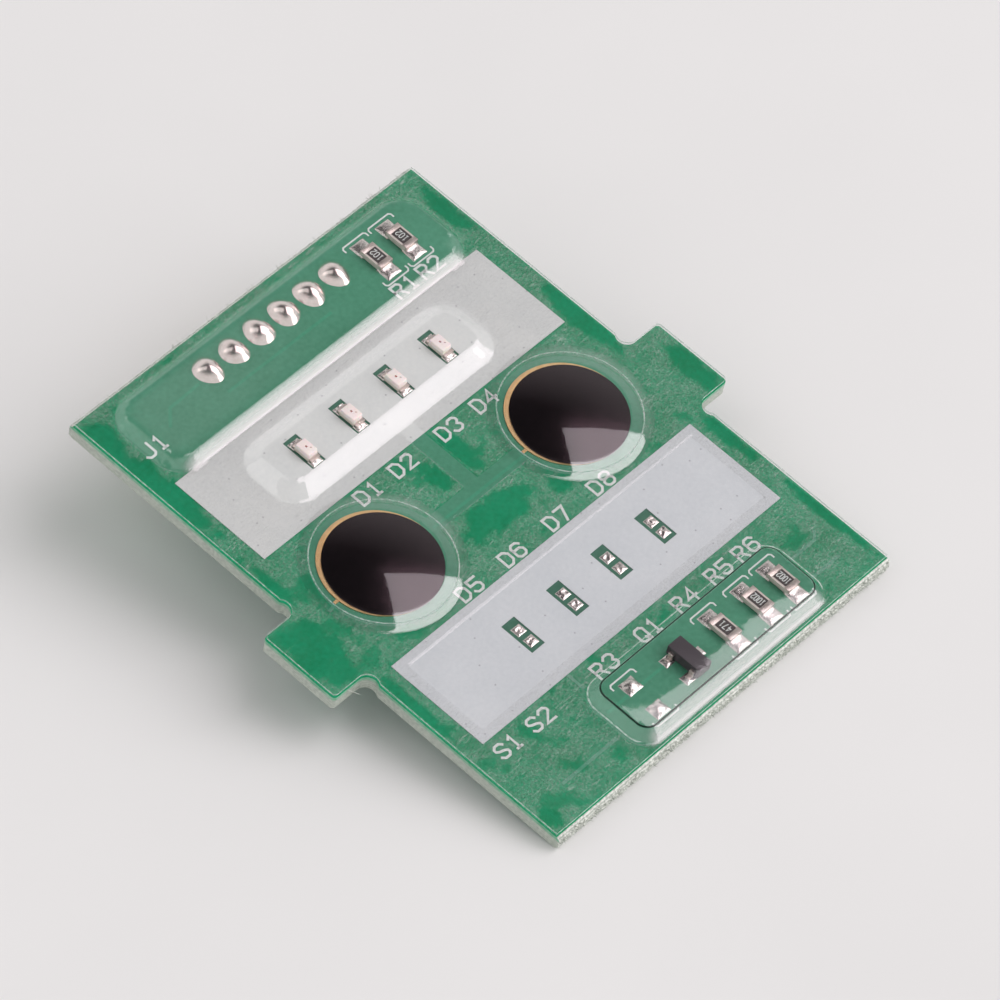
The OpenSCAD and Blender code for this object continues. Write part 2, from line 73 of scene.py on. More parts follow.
def smoothStep(low, high, value):
    t = min(max((value - low) / (high - low), 0), 1)
    return t * t * (3 - 2 * t)


# nodes and colours


def linear(hexCode):
    parts = [int(hexCode[i:i + 2], 16) / 255 for i in (1, 3, 5)]
    return [p / 12.92 if p <= 0.04045 else ((p + 0.055) / 1.055) ** 2.4 for p in parts] + [1]


def feedNode(tree, node, feeds):
    for key, value in feeds.items():
        if isinstance(value, bpy.types.NodeSocket):
            tree.links.new(value, node.inputs[key])
        else:
            node.inputs[key].default_value = value


def addNode(tree, kind, feeds=None, out=0, **settings):
    # gives back one output of the new node, the first unless another is asked for;
    # a colour Mix has its factor at input 0, its colours at 6 and 7, and its result at output 2
    node = tree.nodes.new("ShaderNode" + kind)
    for key, value in settings.items():
        setattr(node, key, value)
    feedNode(tree, node, feeds or {})
    return node.outputs[out]


def startMaterial(name, feeds):
    # every material gets its place on the board in millimetres, so a scale of 1 / size is a real size
    material = bpy.data.materials.new(name)
    material.use_nodes = True
    tree = material.node_tree
    skin = tree.nodes["Principled BSDF"]
    feedNode(tree, skin, feeds)
    spot = addNode(tree, "TexCoord", out="Object")
    mm = addNode(
        tree, "Mapping",
        {"Vector": spot, "Location": origin, "Rotation": (lean, 0, 0), "Scale": (0.001, 0.001, 0.001)},
        vector_type="TEXTURE",
    )
    return material, tree, skin, mm


def solderMask(name, dark, light, rough, gloss):
    # solder mask, curtain coated and cured over copper and glass cloth:
    # deep green with a faint weave and slow changes where copper lies under it
    material, tree, skin, mm = startMaterial(name, {"Specular IOR Level": gloss, "IOR": 1.5})
    slow = addNode(tree, "TexNoise", {"Vector": mm, "Scale": 1 / 4.0, "Detail": 3})
    cloth = addNode(tree, "TexNoise", {"Vector": mm, "Scale": 1 / 0.35, "Detail": 4})
    both = addNode(tree, "Math", {0: slow, 1: cloth}, operation="ADD")
    fac = addNode(tree, "MapRange", {"Value": both, "From Min": 0.75, "From Max": 1.25})
    tone = addNode(tree, "Mix", {0: fac, 6: linear(dark), 7: linear(light)}, 2, data_type="RGBA")
    sheen = {"Value": cloth, "To Min": rough - 0.06, "To Max": rough + 0.06}
    roughness = addNode(tree, "MapRange", sheen)
    weave = addNode(tree, "Bump", {"Height": cloth, "Strength": 0.25, "Distance": 0.00002})
    feedNode(tree, skin, {"Base Color": tone, "Roughness": roughness, "Normal": weave})
    return material


def laminateEdge(name, dark, light, plyThick, rough):
    # glass and epoxy laminate, routed or snapped: pale, with plies as thin lines and frayed glass
    material, tree, skin, mm = startMaterial(name, {"Roughness": rough, "IOR": 1.5})
    # wave bands repeat every 0.314 / scale
    plies = addNode(
        tree, "TexWave",
        {"Vector": mm, "Scale": 0.314 / plyThick, "Distortion": 1.5, "Detail": 2, "Detail Scale": 2},
        out="Fac", bands_direction="Z",
    )
    frayed = addNode(tree, "TexNoise", {"Vector": mm, "Scale": 1 / 0.2, "Detail": 6})
    both = addNode(tree, "Math", {0: plies, 1: 0.25, 2: frayed}, operation="MULTIPLY_ADD")
    fac = addNode(tree, "MapRange", {"Value": both, "From Min": 0.38, "From Max": 0.85})
    tone = addNode(tree, "Mix", {0: fac, 6: linear(dark), 7: linear(light)}, 2, data_type="RGBA")
    fibre = addNode(tree, "Bump", {"Height": both, "Strength": 0.6, "Distance": 0.00005})
    feedNode(tree, skin, {"Base Color": tone, "Normal": fibre})
    return material


def printedInk(name, dark, light, rough, grain, dust):
    # screen printed epoxy ink: chalky white with mesh mottle and a few dust specks
    material, tree, skin, mm = startMaterial(name, {"Roughness": rough, "IOR": 1.5})
    mottle = addNode(tree, "TexNoise", {"Vector": mm, "Scale": 1 / grain, "Detail": 5})
    slow = addNode(tree, "TexNoise", {"Vector": mm, "Scale": 1 / 5.0, "Detail": 2})
    both = addNode(tree, "Math", {0: mottle, 1: slow}, operation="ADD")
    fac = addNode(tree, "MapRange", {"Value": both, "From Min": 0.7, "From Max": 1.3})
    tone = addNode(tree, "Mix", {0: fac, 6: linear(dark), 7: linear(light)}, 2, data_type="RGBA")
    # specks about 0.12 mm across, one every few millimetres
    cells = addNode(tree, "TexVoronoi", {"Vector": mm, "Scale": 1 / 2.6}, voronoi_dimensions="2D")
    dots = {"Value": cells, "From Min": 0.015, "From Max": 0.032, "To Min": 0.6, "To Max": 0.0}
    speck = addNode(tree, "MapRange", dots)
    dusted = addNode(tree, "Mix", {0: speck, 6: tone, 7: linear(dust)}, 2, data_type="RGBA")
    mesh = addNode(tree, "Bump", {"Height": mottle, "Strength": 0.2, "Distance": 0.00002})
    feedNode(tree, skin, {"Base Color": dusted, "Normal": mesh})
    return material


def grainySkin(name, feeds, dark, light, rough, grain, strength, lump):
    # one fine grain moves the colour, the roughness within its two limits, and the surface
    material, tree, skin, mm = startMaterial(name, feeds)
    grains = addNode(tree, "TexNoise", {"Vector": mm, "Scale": 1 / grain, "Detail": 4})
    tone = addNode(tree, "Mix", {0: grains, 6: linear(dark), 7: linear(light)}, 2, data_type="RGBA")
    roughness = addNode(tree, "MapRange", {"Value": grains, "To Min": rough[0], "To Max": rough[1]})
    lumps = addNode(tree, "Bump", {"Height": grains, "Strength": strength, "Distance": lump * 0.001})
    feedNode(tree, skin, {"Base Color": tone, "Roughness": roughness, "Normal": lumps})
    return material


def platedMetal(name, dark, light, rough, spread, grain, lump):
    # plated or reflowed metal: its colour drifts a little and fine grain softens the mirror
    return grainySkin(name, {"Metallic": 1}, dark, light, (rough, rough + spread), grain, 0.3, lump)


def mouldedResin(name, dark, light, rough, grain, inside=0.0):
    # moulded or cast resin: a matt skin with fine grain, cloudy inside where light goes in
    feeds = {"IOR": 1.53, "Subsurface Weight": inside, "Subsurface Scale": 0.0003}
    return grainySkin(name, feeds, dark, light, (rough - 0.08, rough + 0.08), grain, 0.25, 0.015)


def clearFilm(name, mirror, rough, tint):
    # clear polyester film, hot embossed: see-through with a sharp gloss that wavers slightly,
    # mirror is its gloss straight on, which grows toward grazing views, less than on a sheet that lies flat
    atGrazing = 0.4
    feeds = {"Metallic": 1, "Base Color": linear("#FFFFFF"), "Roughness": rough}
    material, tree, skin, mm = startMaterial(name, feeds)
    waves = addNode(tree, "TexNoise", {"Vector": mm, "Scale": 1 / 1.6, "Detail": 2})
    wavy = addNode(tree, "Bump", {"Height": waves, "Strength": 1, "Distance": 0.000004})
    feedNode(tree, skin, {"Normal": wavy})
    facing = addNode(tree, "LayerWeight", {"Blend": 0.5}, "Facing")
    grazing = addNode(tree, "Math", {0: facing, 1: 5}, operation="POWER")
    climb = {0: grazing, 1: atGrazing - mirror, 2: mirror}
    gloss = addNode(tree, "Math", climb, operation="MULTIPLY_ADD")
    # a dark tint here makes painted shade on what shows through
    clear = addNode(tree, "BsdfTransparent", {0: linear(tint)})
    # sheenHaze is the share painted milky white: a painted highlight on the steep lower walls of two
    # pockets, and a faint haze on the roof over the pins
    sheenHaze = addNode(tree, "Attribute", out="Fac", attribute_name="sheenHaze")
    hazeAndSheen = addNode(tree, "BsdfDiffuse", {0: linear("#F3EEEF")})
    inside = addNode(tree, "MixShader", {0: sheenHaze, 1: clear, 2: hazeAndSheen})
    mix = addNode(tree, "MixShader", {0: gloss, 1: inside, 2: skin.outputs[0]})
    feedNode(tree, tree.nodes["Material Output"], {"Surface": mix})
    return material


def frostAndSheenFilm(name, dark, light, amount):
    # polyester where it is cut: milky and frosted, scattering the light it carries; the same white also
    # makes painted highlight lines at the chip pocket's foot and round each blister's cap
    material, tree, skin, mm = startMaterial(name, {"Roughness": 0.5, "IOR": 1.58})
    grain = addNode(tree, "TexNoise", {"Vector": mm, "Scale": 1 / 0.3, "Detail": 4})
    tone = addNode(tree, "Mix", {0: grain, 6: linear(dark), 7: linear(light)}, 2, data_type="RGBA")
    feedNode(tree, skin, {"Base Color": tone})
    hazeAndGlint = {"Value": grain, "From Min": 0.3, "From Max": 0.7, "To Min": amount * 0.4, "To Max": amount * 1.4}
    share = addNode(tree, "MapRange", hazeAndGlint)
    clear = addNode(tree, "BsdfTransparent")
    mix = addNode(tree, "MixShader", {0: share, 1: clear, 2: skin.outputs[0]})
    feedNode(tree, tree.nodes["Material Output"], {"Surface": mix})
    return material


def pressedGlue(name, dark, light, haze, speck):
    # acrylic adhesive pressed on by hand: clear where it wets the board, milky with fine bubbles elsewhere,
    # with bright glints painted in as white specks and streaks
    material, tree, skin, mm = startMaterial(name, {"Roughness": 0.45, "IOR": 1.47})
    wet = addNode(tree, "Attribute", out="Fac", attribute_name="wet")
    foam = addNode(tree, "TexNoise", {"Vector": mm, "Scale": 1 / speck, "Detail": 5, "Roughness": 0.65})
    cloud = addNode(tree, "TexNoise", {"Vector": mm, "Scale": 1 / 1.6, "Detail": 3})
    tone = addNode(tree, "Mix", {0: foam, 6: linear(dark), 7: linear(light)}, 2, data_type="RGBA")
    feedNode(tree, skin, {"Base Color": tone})
    # painted glints along pale streaks about 0.12 mm wide and 0.8 mm long, left by rubbing it down
    lie = {"Vector": mm, "Rotation": (0, 0, 0.5), "Scale": (1 / 0.8, 1 / 0.12, 1)}
    along = addNode(tree, "Mapping", lie)
    rubGlints = addNode(tree, "TexNoise", {"Vector": along, "Scale": 1, "Detail": 2, "Distortion": 1.2})
    # each pattern, the span of it that counts, and what that span gives
    spans = [(foam, 0.4, 0.62, 0.25, 1.9), (cloud, 0.3, 0.7, 0.6, 1.4), (rubGlints, 0.6, 0.72, 0.0, 2.8)]
    hazeAndGlint = []
    for pattern, low, high, least, most in spans:
        span = {"Value": pattern, "From Min": low, "From Max": high, "To Min": least, "To Max": most}
        hazeAndGlint.append(addNode(tree, "MapRange", span))
    hazeAndSheen = addNode(tree, "Math", dict(enumerate(hazeAndGlint)), operation="MULTIPLY_ADD")
    dry = addNode(tree, "MapRange", {"Value": wet, "To Min": haze, "To Max": haze * 0.08})
    amount = addNode(tree, "Math", {0: hazeAndSheen, 1: dry}, operation="MULTIPLY")
    clear = addNode(tree, "BsdfTransparent")
    mix = addNode(tree, "MixShader", {0: amount, 1: clear, 2: skin.outputs[0]})
    feedNode(tree, tree.nodes["Material Output"], {"Surface": mix})
    return material


maskUnderGlue = solderMask("solder_mask_wetted_by_glue", "#0D8457", "#189468", 0.4, 0.05)
# in the air gaps the mask is painted lighter and greyer than under glue: a painted reflection veil, on top
# of its real surface gloss
maskInAirVeiled = solderMask("solder_mask_in_air_painted_veil", "#3C8566", "#4A9375", 0.42, 0.4)
# inside the print windows the mask is painted darker: painted shade from the window's recess
maskShadedInWindow = solderMask("solder_mask_in_window_painted_shade", "#3B6A56", "#487663", 0.42, 0.3)
maskOverCopper = solderMask("solder_mask_over_copper", "#3C8F6E", "#4A9C7C", 0.38, 0.3)
maskAtEdge = solderMask("solder_mask_thinned_at_edge", "#63A583", "#96C2A8", 0.5, 0.3)
routedEdge = laminateEdge("glass_epoxy_routed_edge", "#98A298", "#C6CDC2", 0.2, 0.7)
snappedEdge = laminateEdge("glass_epoxy_snapped_edge", "#8F988E", "#E2E6DE", 0.12, 0.85)
whitePrint = printedInk("white_ink_screen_printed", "#D0D5D3", "#DADEDB", 0.45, 0.3, "#77757F")
thinPrint = printedInk("white_ink_screen_printed_thin", "#C8CED1", "#D2D7D9", 0.45, 0.3, "#77757F")
legendInk = printedInk("legend_ink_screen_printed", "#D2DAD6", "#E6EBE8", 0.5, 0.2, "#A9B4AE")
goldPlate = platedMetal("gold_plate_over_copper", "#DDAE74", "#F4D6A4", 0.36, 0.1, 0.6, 0.001)
# the dome's dark base colour stands in for the dark room its mirror shows: painted reflection
domeSteelPaintedDark = platedMetal("spring_steel_painted_dark_reflection", "#2E2528", "#3A2F33", 0.14, 0.1, 0.5, 0.002)
tinPlate = platedMetal("tin_plate_matt", "#B8A8A2", "#DCD2CC", 0.32, 0.2, 0.12, 0.01)
brightSolder = platedMetal("solder_wave_flowed", "#E6D6D2", "#F6ECE8", 0.14, 0.12, 0.4, 0.02)
lumpySolder = platedMetal("solder_paste_reflowed", "#C2B8B4", "#EEE8E4", 0.14, 0.2, 0.2, 0.08)
pinBrass = platedMetal("brass_pin_tin_plated", "#B5AA98", "#D2CABC", 0.25, 0.15, 0.3, 0.01)
chipGlaze = mouldedResin("chip_glaze_fired", "#352E2E", "#463D3C", 0.4, 0.1)
ceramic = mouldedResin("alumina_fired", "#BDB4AC", "#D8D0C8", 0.6, 0.1)
mouldCompound = mouldedResin("epoxy_mould_compound", "#332D32", "#433B41", 0.5, 0.08)
lampResin = mouldedResin("lamp_epoxy_cast", "#F4E6E2", "#FDF4F0", 0.3, 0.25, 0.3)
lampCarrier = mouldedResin("lamp_carrier_moulded", "#D8D0C2", "#E6E0D4", 0.55, 0.15)
lampDie = mouldedResin("lamp_die_seen_through_resin", "#8A4A42", "#A8665C", 0.4, 0.05)
shroudNylon = mouldedResin("nylon_moulded_natural", "#D2CCBC", "#E0DBCD", 0.5, 0.35, 0.15)
filmClear = clearFilm("polyester_film_embossed", 0.045, 0.03, "#FFFFFF")
filmSkirt = clearFilm("polyester_film_drawn_round", 0.095, 0.03, "#FFFFFF")
filmOverDome = clearFilm("polyester_film_stretched", 0.05, 0.03, "#FFFFFF")
filmBonded = clearFilm("polyester_film_wetted_by_glue", 0.005, 0.03, "#FFFFFF")
# the fold's dark grey tint is painted shade
filmFoldShade = clearFilm("polyester_film_fold_painted_shade", 0.03, 0.1, "#55605C")
# white of the cut edge is its real frosting; the same white along the chip pocket's foot is a painted
# highlight
filmCutAndSheen = frostAndSheenFilm("polyester_film_cut_edge_and_painted_highlight", "#B9D6C6", "#EAF2EE", 0.55)
# the white ring on each blister is a painted highlight
filmRimHighlight = frostAndSheenFilm("polyester_film_rim_painted_highlight", "#D8DEDA", "#F4F6F5", 0.3)
glue = pressedGlue("acrylic_glue_pressed", "#DCE4DF", "#FAFCFA", 0.05, 0.18)
print("materials made")


# mesh building


def newShape():
    return {"points": [], "faces": [], "kinds": []}


def addGrid(shape, rows, wrap=False, kind=0):
    first, width = len(shape["points"]), len(rows[0])
    for row in rows:
        shape["points"] += row
    for i in range(len(rows) - 1):
        for j in range(width if wrap else width - 1):
            a, b = first + i * width + j, first + i * width + (j + 1) % width
            shape["faces"].append((a, b, b + width, a + width))
            shape["kinds"].append(kind)


def addSliver(shape, start, end, width):
    # a thin three-sided spike from start to end
    first, way = len(shape["points"]), (Vector(end) - Vector(start)).normalized()
    side = way.orthogonal() * width / 2
    for k in range(3):
        shape["points"].append(tuple(Vector(start) + Matrix.Rotation(k * math.tau / 3, 3, way) @ side))
    shape["points"].append(tuple(end))
    shape["faces"] += [(first + k, first + (k + 1) % 3, first + 3) for k in range(3)]
    shape["faces"].append((first + 2, first + 1, first))
    shape["kinds"] += [0] * 4


def makePiece(name, shape, materials, body="board", sharp=None, closed=True):
    mesh = bpy.data.meshes.new(name)
    mesh.from_pydata([toBench @ Vector(p) for p in shape["points"]], [], shape["faces"])
    mesh.polygons.foreach_set("material_index", shape["kinds"])
    for material in materials:
        mesh.materials.append(material)
    work = bmesh.new()
    work.from_mesh(mesh)
    bmesh.ops.remove_doubles(work, verts=work.verts, dist=1e-6)
    bmesh.ops.dissolve_degenerate(work, edges=work.edges, dist=1e-7)
    if closed:
        bmesh.ops.recalc_face_normals(work, faces=work.faces)
    work.to_mesh(mesh)
    work.free()
    mesh.polygons.foreach_set("use_smooth", [True] * len(mesh.polygons))
    if sharp:
        mesh.set_sharp_from_angle(angle=math.radians(sharp))
    piece = bpy.data.objects.new(name, mesh)
    scene.collection.objects.link(piece)
    if body:
        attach(piece, body)
    return piece


def circle(at, radius, count):
    angles = [2 * math.pi * i / count for i in range(count)]
    return [(at[0] + radius * math.cos(a), at[1] + radius * math.sin(a)) for a in angles]


def arc(at, radius, start, end, steps):
    angles = [start + (end - start) * i / steps for i in range(steps + 1)]
    return [(at[0] + radius * math.cos(a), at[1] + radius * math.sin(a)) for a in angles]


def roundedLoop(at, size, radius, steps=10):
    loop = []
    for k, (sx, sy) in enumerate([(1, 1), (-1, 1), (-1, -1), (1, -1)]):
        middle = (at[0] + sx * (size[0] / 2 - radius), at[1] + sy * (size[1] / 2 - radius))
        loop += arc(middle, radius, k * math.pi / 2, (k + 1) * math.pi / 2, steps)
    return loop


def middleOf(flat, triangle):
    return sum((flat[i] for i in triangle), Vector((0, 0))) / 3


def plain(x, y):
    return 0


def triangulate(loops, spots, keep):
    points, edges = [], []
    for loop in loops:
        first, count = len(points), len(loop)
        points += [Vector(p) for p in loop]
        edges += [(first + i, first + (i + 1) % count) for i in range(count)]
    points += [Vector(s) for s in spots]
    flat, _, triangles, _, _, _ = geometry.delaunay_2d_cdt(points, edges, [], 0, 1e-5)
    return flat, [tuple(triangle) for triangle in triangles if keep(*middleOf(flat, triangle))]


def openEdges(triangles):
    edges = dict.fromkeys(edge for t in triangles for edge in zip(t, t[1:] + t[:1]))
    return [(a, b) for a, b in edges if (b, a) not in edges]


def sheetShape(flat, triangles, heights, thick, kindAt=plain, underKind=plain, edgeKind=0, leaveOpen=plain):
    # a sheet of even thickness under the given heights
    shape, count = newShape(), len(flat)
    shape["points"] = [(p.x, p.y, z) for p, z in zip(flat, heights)]
    shape["points"] += [(p.x, p.y, z - thick) for p, z in zip(flat, heights)]
    for triangle in triangles:
        middle = middleOf(flat, triangle)
        shape["faces"] += [triangle, tuple(i + count for i in reversed(triangle))]
        shape["kinds"] += [kindAt(*middle), underKind(*middle)]
    for a, b in openEdges(triangles):
        if not leaveOpen(*flat[a]):
            shape["faces"].append((b, a, a + count, b + count))
            shape["kinds"].append(edgeKind)
    used = sorted({i for face in shape["faces"] for i in face})
    renumber = {old: new for new, old in enumerate(used)}
    shape["points"] = [shape["points"][i] for i in used]
    shape["faces"] = [tuple(renumber[i] for i in face) for face in shape["faces"]]
    return shape


# the board and its outline
board = {
    "halfWidth": 17.05, "halfLength": 22.8, "thick": 1.2, "scoreRun": 0.3, "scoreDepth": 0.2,
    "tabOut": 3.0, "tabLow": -5.0, "tabTop": 1.6, "tabCorner": 0.3, "cutterRadius": 0.8, "cutterBite": 0.2,
    "maskRun": 0.28, "webStep": 0.1, "webRows": 8, "webRough": 0.19, "webSwell": 0.12, "scoreRough": 0.03,
}
gluedSlot, airSlot, routedSlot, snappedSlot, edgeSlot, shadedWindowSlot = range(6)  # the board's finishes
topHalf = board["halfLength"] - board["scoreRun"]
cutterX = board["halfWidth"] + board["cutterRadius"] - board["cutterBite"]
cutterLow, cutterTop = board["tabLow"] - board["cutterRadius"], board["tabTop"] + board["cutterRadius"]


def rightSide(inset):
    # up the right side, round the locating tab and the cutter marks at its root
    side, reach = board["halfWidth"] - inset, board["cutterRadius"] + inset
    swing = math.acos((cutterX - side) / reach)
    low, top = board["tabLow"] + inset, board["tabTop"] - inset
    outer, corner = board["halfWidth"] + board["tabOut"] - inset, board["tabCorner"]
    line = [(side, -topHalf + inset)]
    line += arc((cutterX, cutterLow), reach, math.pi + swing, math.pi / 2, 10)
    line += arc((outer - corner, low + corner), corner, -math.pi / 2, 0, 6)
    line += arc((outer - corner, top - corner), corner, 0, math.pi / 2, 6)
    line += arc((cutterX, cutterTop), reach, 1.5 * math.pi, math.pi - swing, 10)
    return line + [(side, topHalf - inset)]


def outline(inset):
    right = rightSide(inset)
    return right + [(-x, y) for x, y in reversed(right)]


def insideOutline(x, y, inset):
    x = abs(x)
    if any(math.hypot(x - cutterX, y - at) < board["cutterRadius"] + inset for at in (cutterTop, cutterLow)):
        return False
    main = x < board["halfWidth"] - inset and abs(y) < topHalf - inset
    tab = x < board["halfWidth"] + board["tabOut"] - inset
    tab = tab and board["tabLow"] + inset < y < board["tabTop"] - inset
    root = x < cutterX and cutterLow < y < cutterTop
    return main or tab or root


film = {"top": 0.35, "thick": 0.15, "inset": 0.05, "fold": 0.2, "coarse": 0.7, "fine": 0.08}
pockets = {
    "header": {
        "at": (0, 18.05), "size": (30.1, 7.35), "radius": 2.2, "height": 0.7, "run": 0.65, "bow": 0.03,
    },
    "lamps": {
        "at": (-0.3, 10.3), "size": (21.5, 6.15), "radius": 2.2, "height": 0.75, "run": 1.25, "bow": 0.03,
    },
    "chips": {
        "at": (2.0, -18.95), "size": (19.4, 6.3), "radius": 1.7, "height": 0.85, "run": 0.75, "bow": 0.08,
    },
}
spareWindow = {"at": (0, -9.95), "size": (28.9, 6.85), "corner": 0.2, "sink": 0.014, "ease": 0.12}
vent = {
    "low": -0.275, "top": 1.075, "stemLeft": -0.605, "stemRight": 0.745, "stemTop": 8.0,
    "rise": 0.009, "ease": 0.1, "fade": (0.8, 1.3),
}
domeSpots = {"left": (-dome["x"], dome["y"]), "right": (dome["x"], dome["y"])}
holeRadius = 5.1


def inward(pocket, x, y):
    # distance from the foot of a rounded pocket, positive inside
    wide, tall = pocket["size"]
    qx = abs(x - pocket["at"][0]) - (wide / 2 - pocket["radius"])
    qy = abs(y - pocket["at"][1]) - (tall / 2 - pocket["radius"])
    return pocket["radius"] - math.hypot(max(qx, 0), max(qy, 0)) - min(max(qx, qy), 0)


def pocketLoop(pocket, depth):
    size = [s - 2 * depth for s in pocket["size"]]
    return roundedLoop(pocket["at"], size, pocket["radius"] - depth)


def nearDome(x, y):
    return min(math.hypot(x - at[0], y - at[1]) for at in domeSpots.values())


def inVent(x, y):
    channel = abs(x) < dome["x"] and vent["low"] < y < vent["top"]
    return channel or (vent["stemLeft"] < x < vent["stemRight"] and vent["low"] < y < vent["stemTop"])


def inSpareWindow(x, y):
    (wide, tall), at = spareWindow["size"], spareWindow["at"]
    return abs(x - at[0]) < wide / 2 and abs(y - at[1]) < tall / 2


def inAir(x, y):
    # where the film spans without glue
    if inVent(x, y) or inSpareWindow(x, y) or nearDome(x, y) < holeRadius:
        return True
    return any(inward(pocket, x, y) > 0 for pocket in pockets.values())


def boxLoop(left, right, low, top):
    return [(left, low), (right, low), (right, top), (left, top)]


airLoops = [pocketLoop(p, 0) for p in pockets.values()]
airLoops += [circle(at, holeRadius, 96) for at in domeSpots.values()]
spareLoop = roundedLoop(spareWindow["at"], spareWindow["size"], spareWindow["corner"], 3)
airLoops.append(spareLoop)
airLoops.append(boxLoop(-dome["x"], dome["x"], vent["low"], vent["top"]))
airLoops.append(boxLoop(vent["stemLeft"], vent["stemRight"], vent["top"] - 0.1, vent["stemTop"]))


def boardShape():
    shape = newShape()
    right = rightSide(0)
    half, thick, scoreDepth = board["halfWidth"], board["thick"], board["scoreDepth"]
    count = int(2 * half / board["webStep"])
    across = [half - 2 * half * i / count for i in range(1, count)]
    # columns go round the edge: x, y, and whether the edge there is scored
    columns = [(x, y, 0) for x, y in right] + [(half, topHalf, 1)]
    columns += [(x, topHalf, 1) for x in across] + [(-half, topHalf, 1)]
    columns += [(-x, y, 0) for x, y in reversed(right)] + [(-half, -topHalf, -1)]
    columns += [(-x, -topHalf, -1) for x in across] + [(half, -topHalf, -1)]
    web = thick - 2 * scoreDepth
    depths = [0, 0.03, board["maskRun"] / 2]
    depths += [scoreDepth + web * k / board["webRows"] for k in range(board["webRows"] + 1)]
    depths += [thick - 0.04, thick]
    rows = []
    for depth in depths:
        row = []
        onWeb = scoreDepth - 0.01 <= depth <= thick - scoreDepth + 0.01
        for x, y, scored in columns:
            if not scored:
                row.append((x, y, -depth))
                continue
            fromFace = min(depth, thick - depth)
            reach = board["scoreRun"] * min(fromFace / scoreDepth, 1)
            if onWeb:
                reach += random.uniform(-1, 0.6) * board["webRough"]
                reach += board["webSwell"] * noise.noise(Vector((x * 1.1, depth * 2.5, scored * 7.0)))
            elif depth not in (0, thick):
                reach += random.uniform(-board["scoreRough"], board["scoreRough"])
            row.append((x, y + scored * min(max(reach, 0), board["scoreRun"]), -depth))
        rows.append(row)
    addGrid(shape, rows, wrap=True, kind=routedSlot)
    # the frayed web takes the snapped finish, and mask runs a little way down the routed sides
    perRow = len(columns)
    for i in range(len(depths) - 1):
        for j in range(perRow):
            if columns[j][2] and columns[(j + 1) % perRow][2]:
                shape["kinds"][i * perRow + j] = snappedSlot
            elif depths[i] < board["maskRun"]:
                shape["kinds"][i * perRow + j] = edgeSlot
    rim = [(x, y) for x, y, _ in rows[0]]
    flat, triangles = triangulate([rim] + airLoops, [], lambda x, y: insideOutline(x, y, 0))
    first = len(shape["points"])
    shape["points"] += [(p.x, p.y, 0) for p in flat]
    for triangle in triangles:
        middle = middleOf(flat, triangle)
        shape["faces"].append(tuple(first + i for i in triangle))
        windowed = inSpareWindow(*middle) or inward(pockets["lamps"], *middle) > 0
        shape["kinds"].append(shadedWindowSlot if windowed else (airSlot if inAir(*middle) else gluedSlot))
    first = len(shape["points"])
    flat, triangles = triangulate([rim], [], lambda x, y: insideOutline(x, y, 0))
    shape["points"] += [(p.x, p.y, -thick) for p in flat]
    shape["faces"] += [tuple(first + i for i in reversed(t)) for t in triangles]
    shape["kinds"] += [airSlot] * len(triangles)
    return shape


boardPiece = makePiece(
    "board_with_snapped_edges", boardShape(),
    [maskUnderGlue, maskInAirVeiled, routedEdge, snappedEdge, maskAtEdge, maskShadedInWindow], sharp=35,
)
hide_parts("circuit_board")

# loose glass along the snapped edges, and one whisker that the cutter left on the left tab
fibres = {
    "count": 640, "width": 0.07, "shortest": 0.08, "longest": 0.4, "root": 0.12,
    "whisker": ((-18.75, -4.95, -0.15), (-18.2, -5.85, -0.35)), "whiskerWidth": 0.12,
}
fibreShape = newShape()
for k in range(fibres["count"]):
    side = -1 if k % 3 else 1
    x = random.uniform(-board["halfWidth"], board["halfWidth"])
    depth = random.uniform(board["scoreDepth"], board["thick"] * 0.7)
    length = fibres["longest"] * random.random() ** 2 + fibres["shortest"]
    root = board["halfLength"] - fibres["root"]
    sideways, up = random.uniform(-0.8, 0.8) * length, random.uniform(-0.1, 0.5) * length
    end = (x + sideways, side * (root + length), -depth + up)
    addSliver(fibreShape, (x, side * root, -depth), end, fibres["width"])
addSliver(fibreShape, *fibres["whisker"], fibres["whiskerWidth"])
makePiece("frayed_glass", fibreShape, [snappedEdge], sharp=35)
print("board made")


# traces that show through the mask, and the white legend
strokes = {
    "0": [[(1, 0), (3, 0), (4, 1), (4, 5), (3, 6), (1, 6), (0, 5), (0, 1), (1, 0)]],
    "1": [[(1, 5), (2, 6), (2, 0)], [(1, 0), (3, 0)]],
    "2": [[(0, 5), (1, 6), (3, 6), (4, 5), (4, 4), (0, 0), (4, 0)]],
    "3": [[(0, 5), (1, 6), (3, 6), (4, 5), (4, 4), (3, 3), (4, 2), (4, 1), (3, 0), (1, 0), (0, 1)]],
    "4": [[(3, 0), (3, 6), (0, 2), (4, 2)]],
    "5": [[(4, 6), (0, 6), (0, 3.5), (3, 3.5), (4, 2.5), (4, 1), (3, 0), (1, 0), (0, 1)]],
    "6": [[(4, 5), (3, 6), (1, 6), (0, 5), (0, 1), (1, 0), (3, 0), (4, 1), (4, 2.5), (3, 3.5), (0, 3.5)]],
    "7": [[(0, 6), (4, 6), (1.5, 0)]],
    "8": [[(1, 3.2), (0, 4), (0, 5), (1, 6), (3, 6), (4, 5), (4, 4), (3, 3.2), (4, 2.2), (4, 1), (3, 0),
           (1, 0), (0, 1), (0, 2.2), (1, 3.2), (3, 3.2)]],
    "D": [[(0, 0), (0, 6), (2.5, 6), (4, 4.5), (4, 1.5), (2.5, 0), (0, 0)]],
    "J": [[(4, 6), (4, 1), (3, 0), (1, 0), (0, 1)]],
    "Q": [[(1, 0), (3, 0), (4, 1), (4, 5), (3, 6), (1, 6), (0, 5), (0, 1), (1, 0)], [(2.5, 1.5), (4, 0)]],
    "R": [[(0, 0), (0, 6), (3, 6), (4, 5), (4, 4), (3, 3), (0, 3)], [(2, 3), (4, 0)]],
    "S": [[(4, 5), (3, 6), (1, 6), (0, 5), (0, 4), (1, 3.3), (3, 2.7), (4, 2), (4, 1), (3, 0), (1, 0),
           (0, 1)]],
}


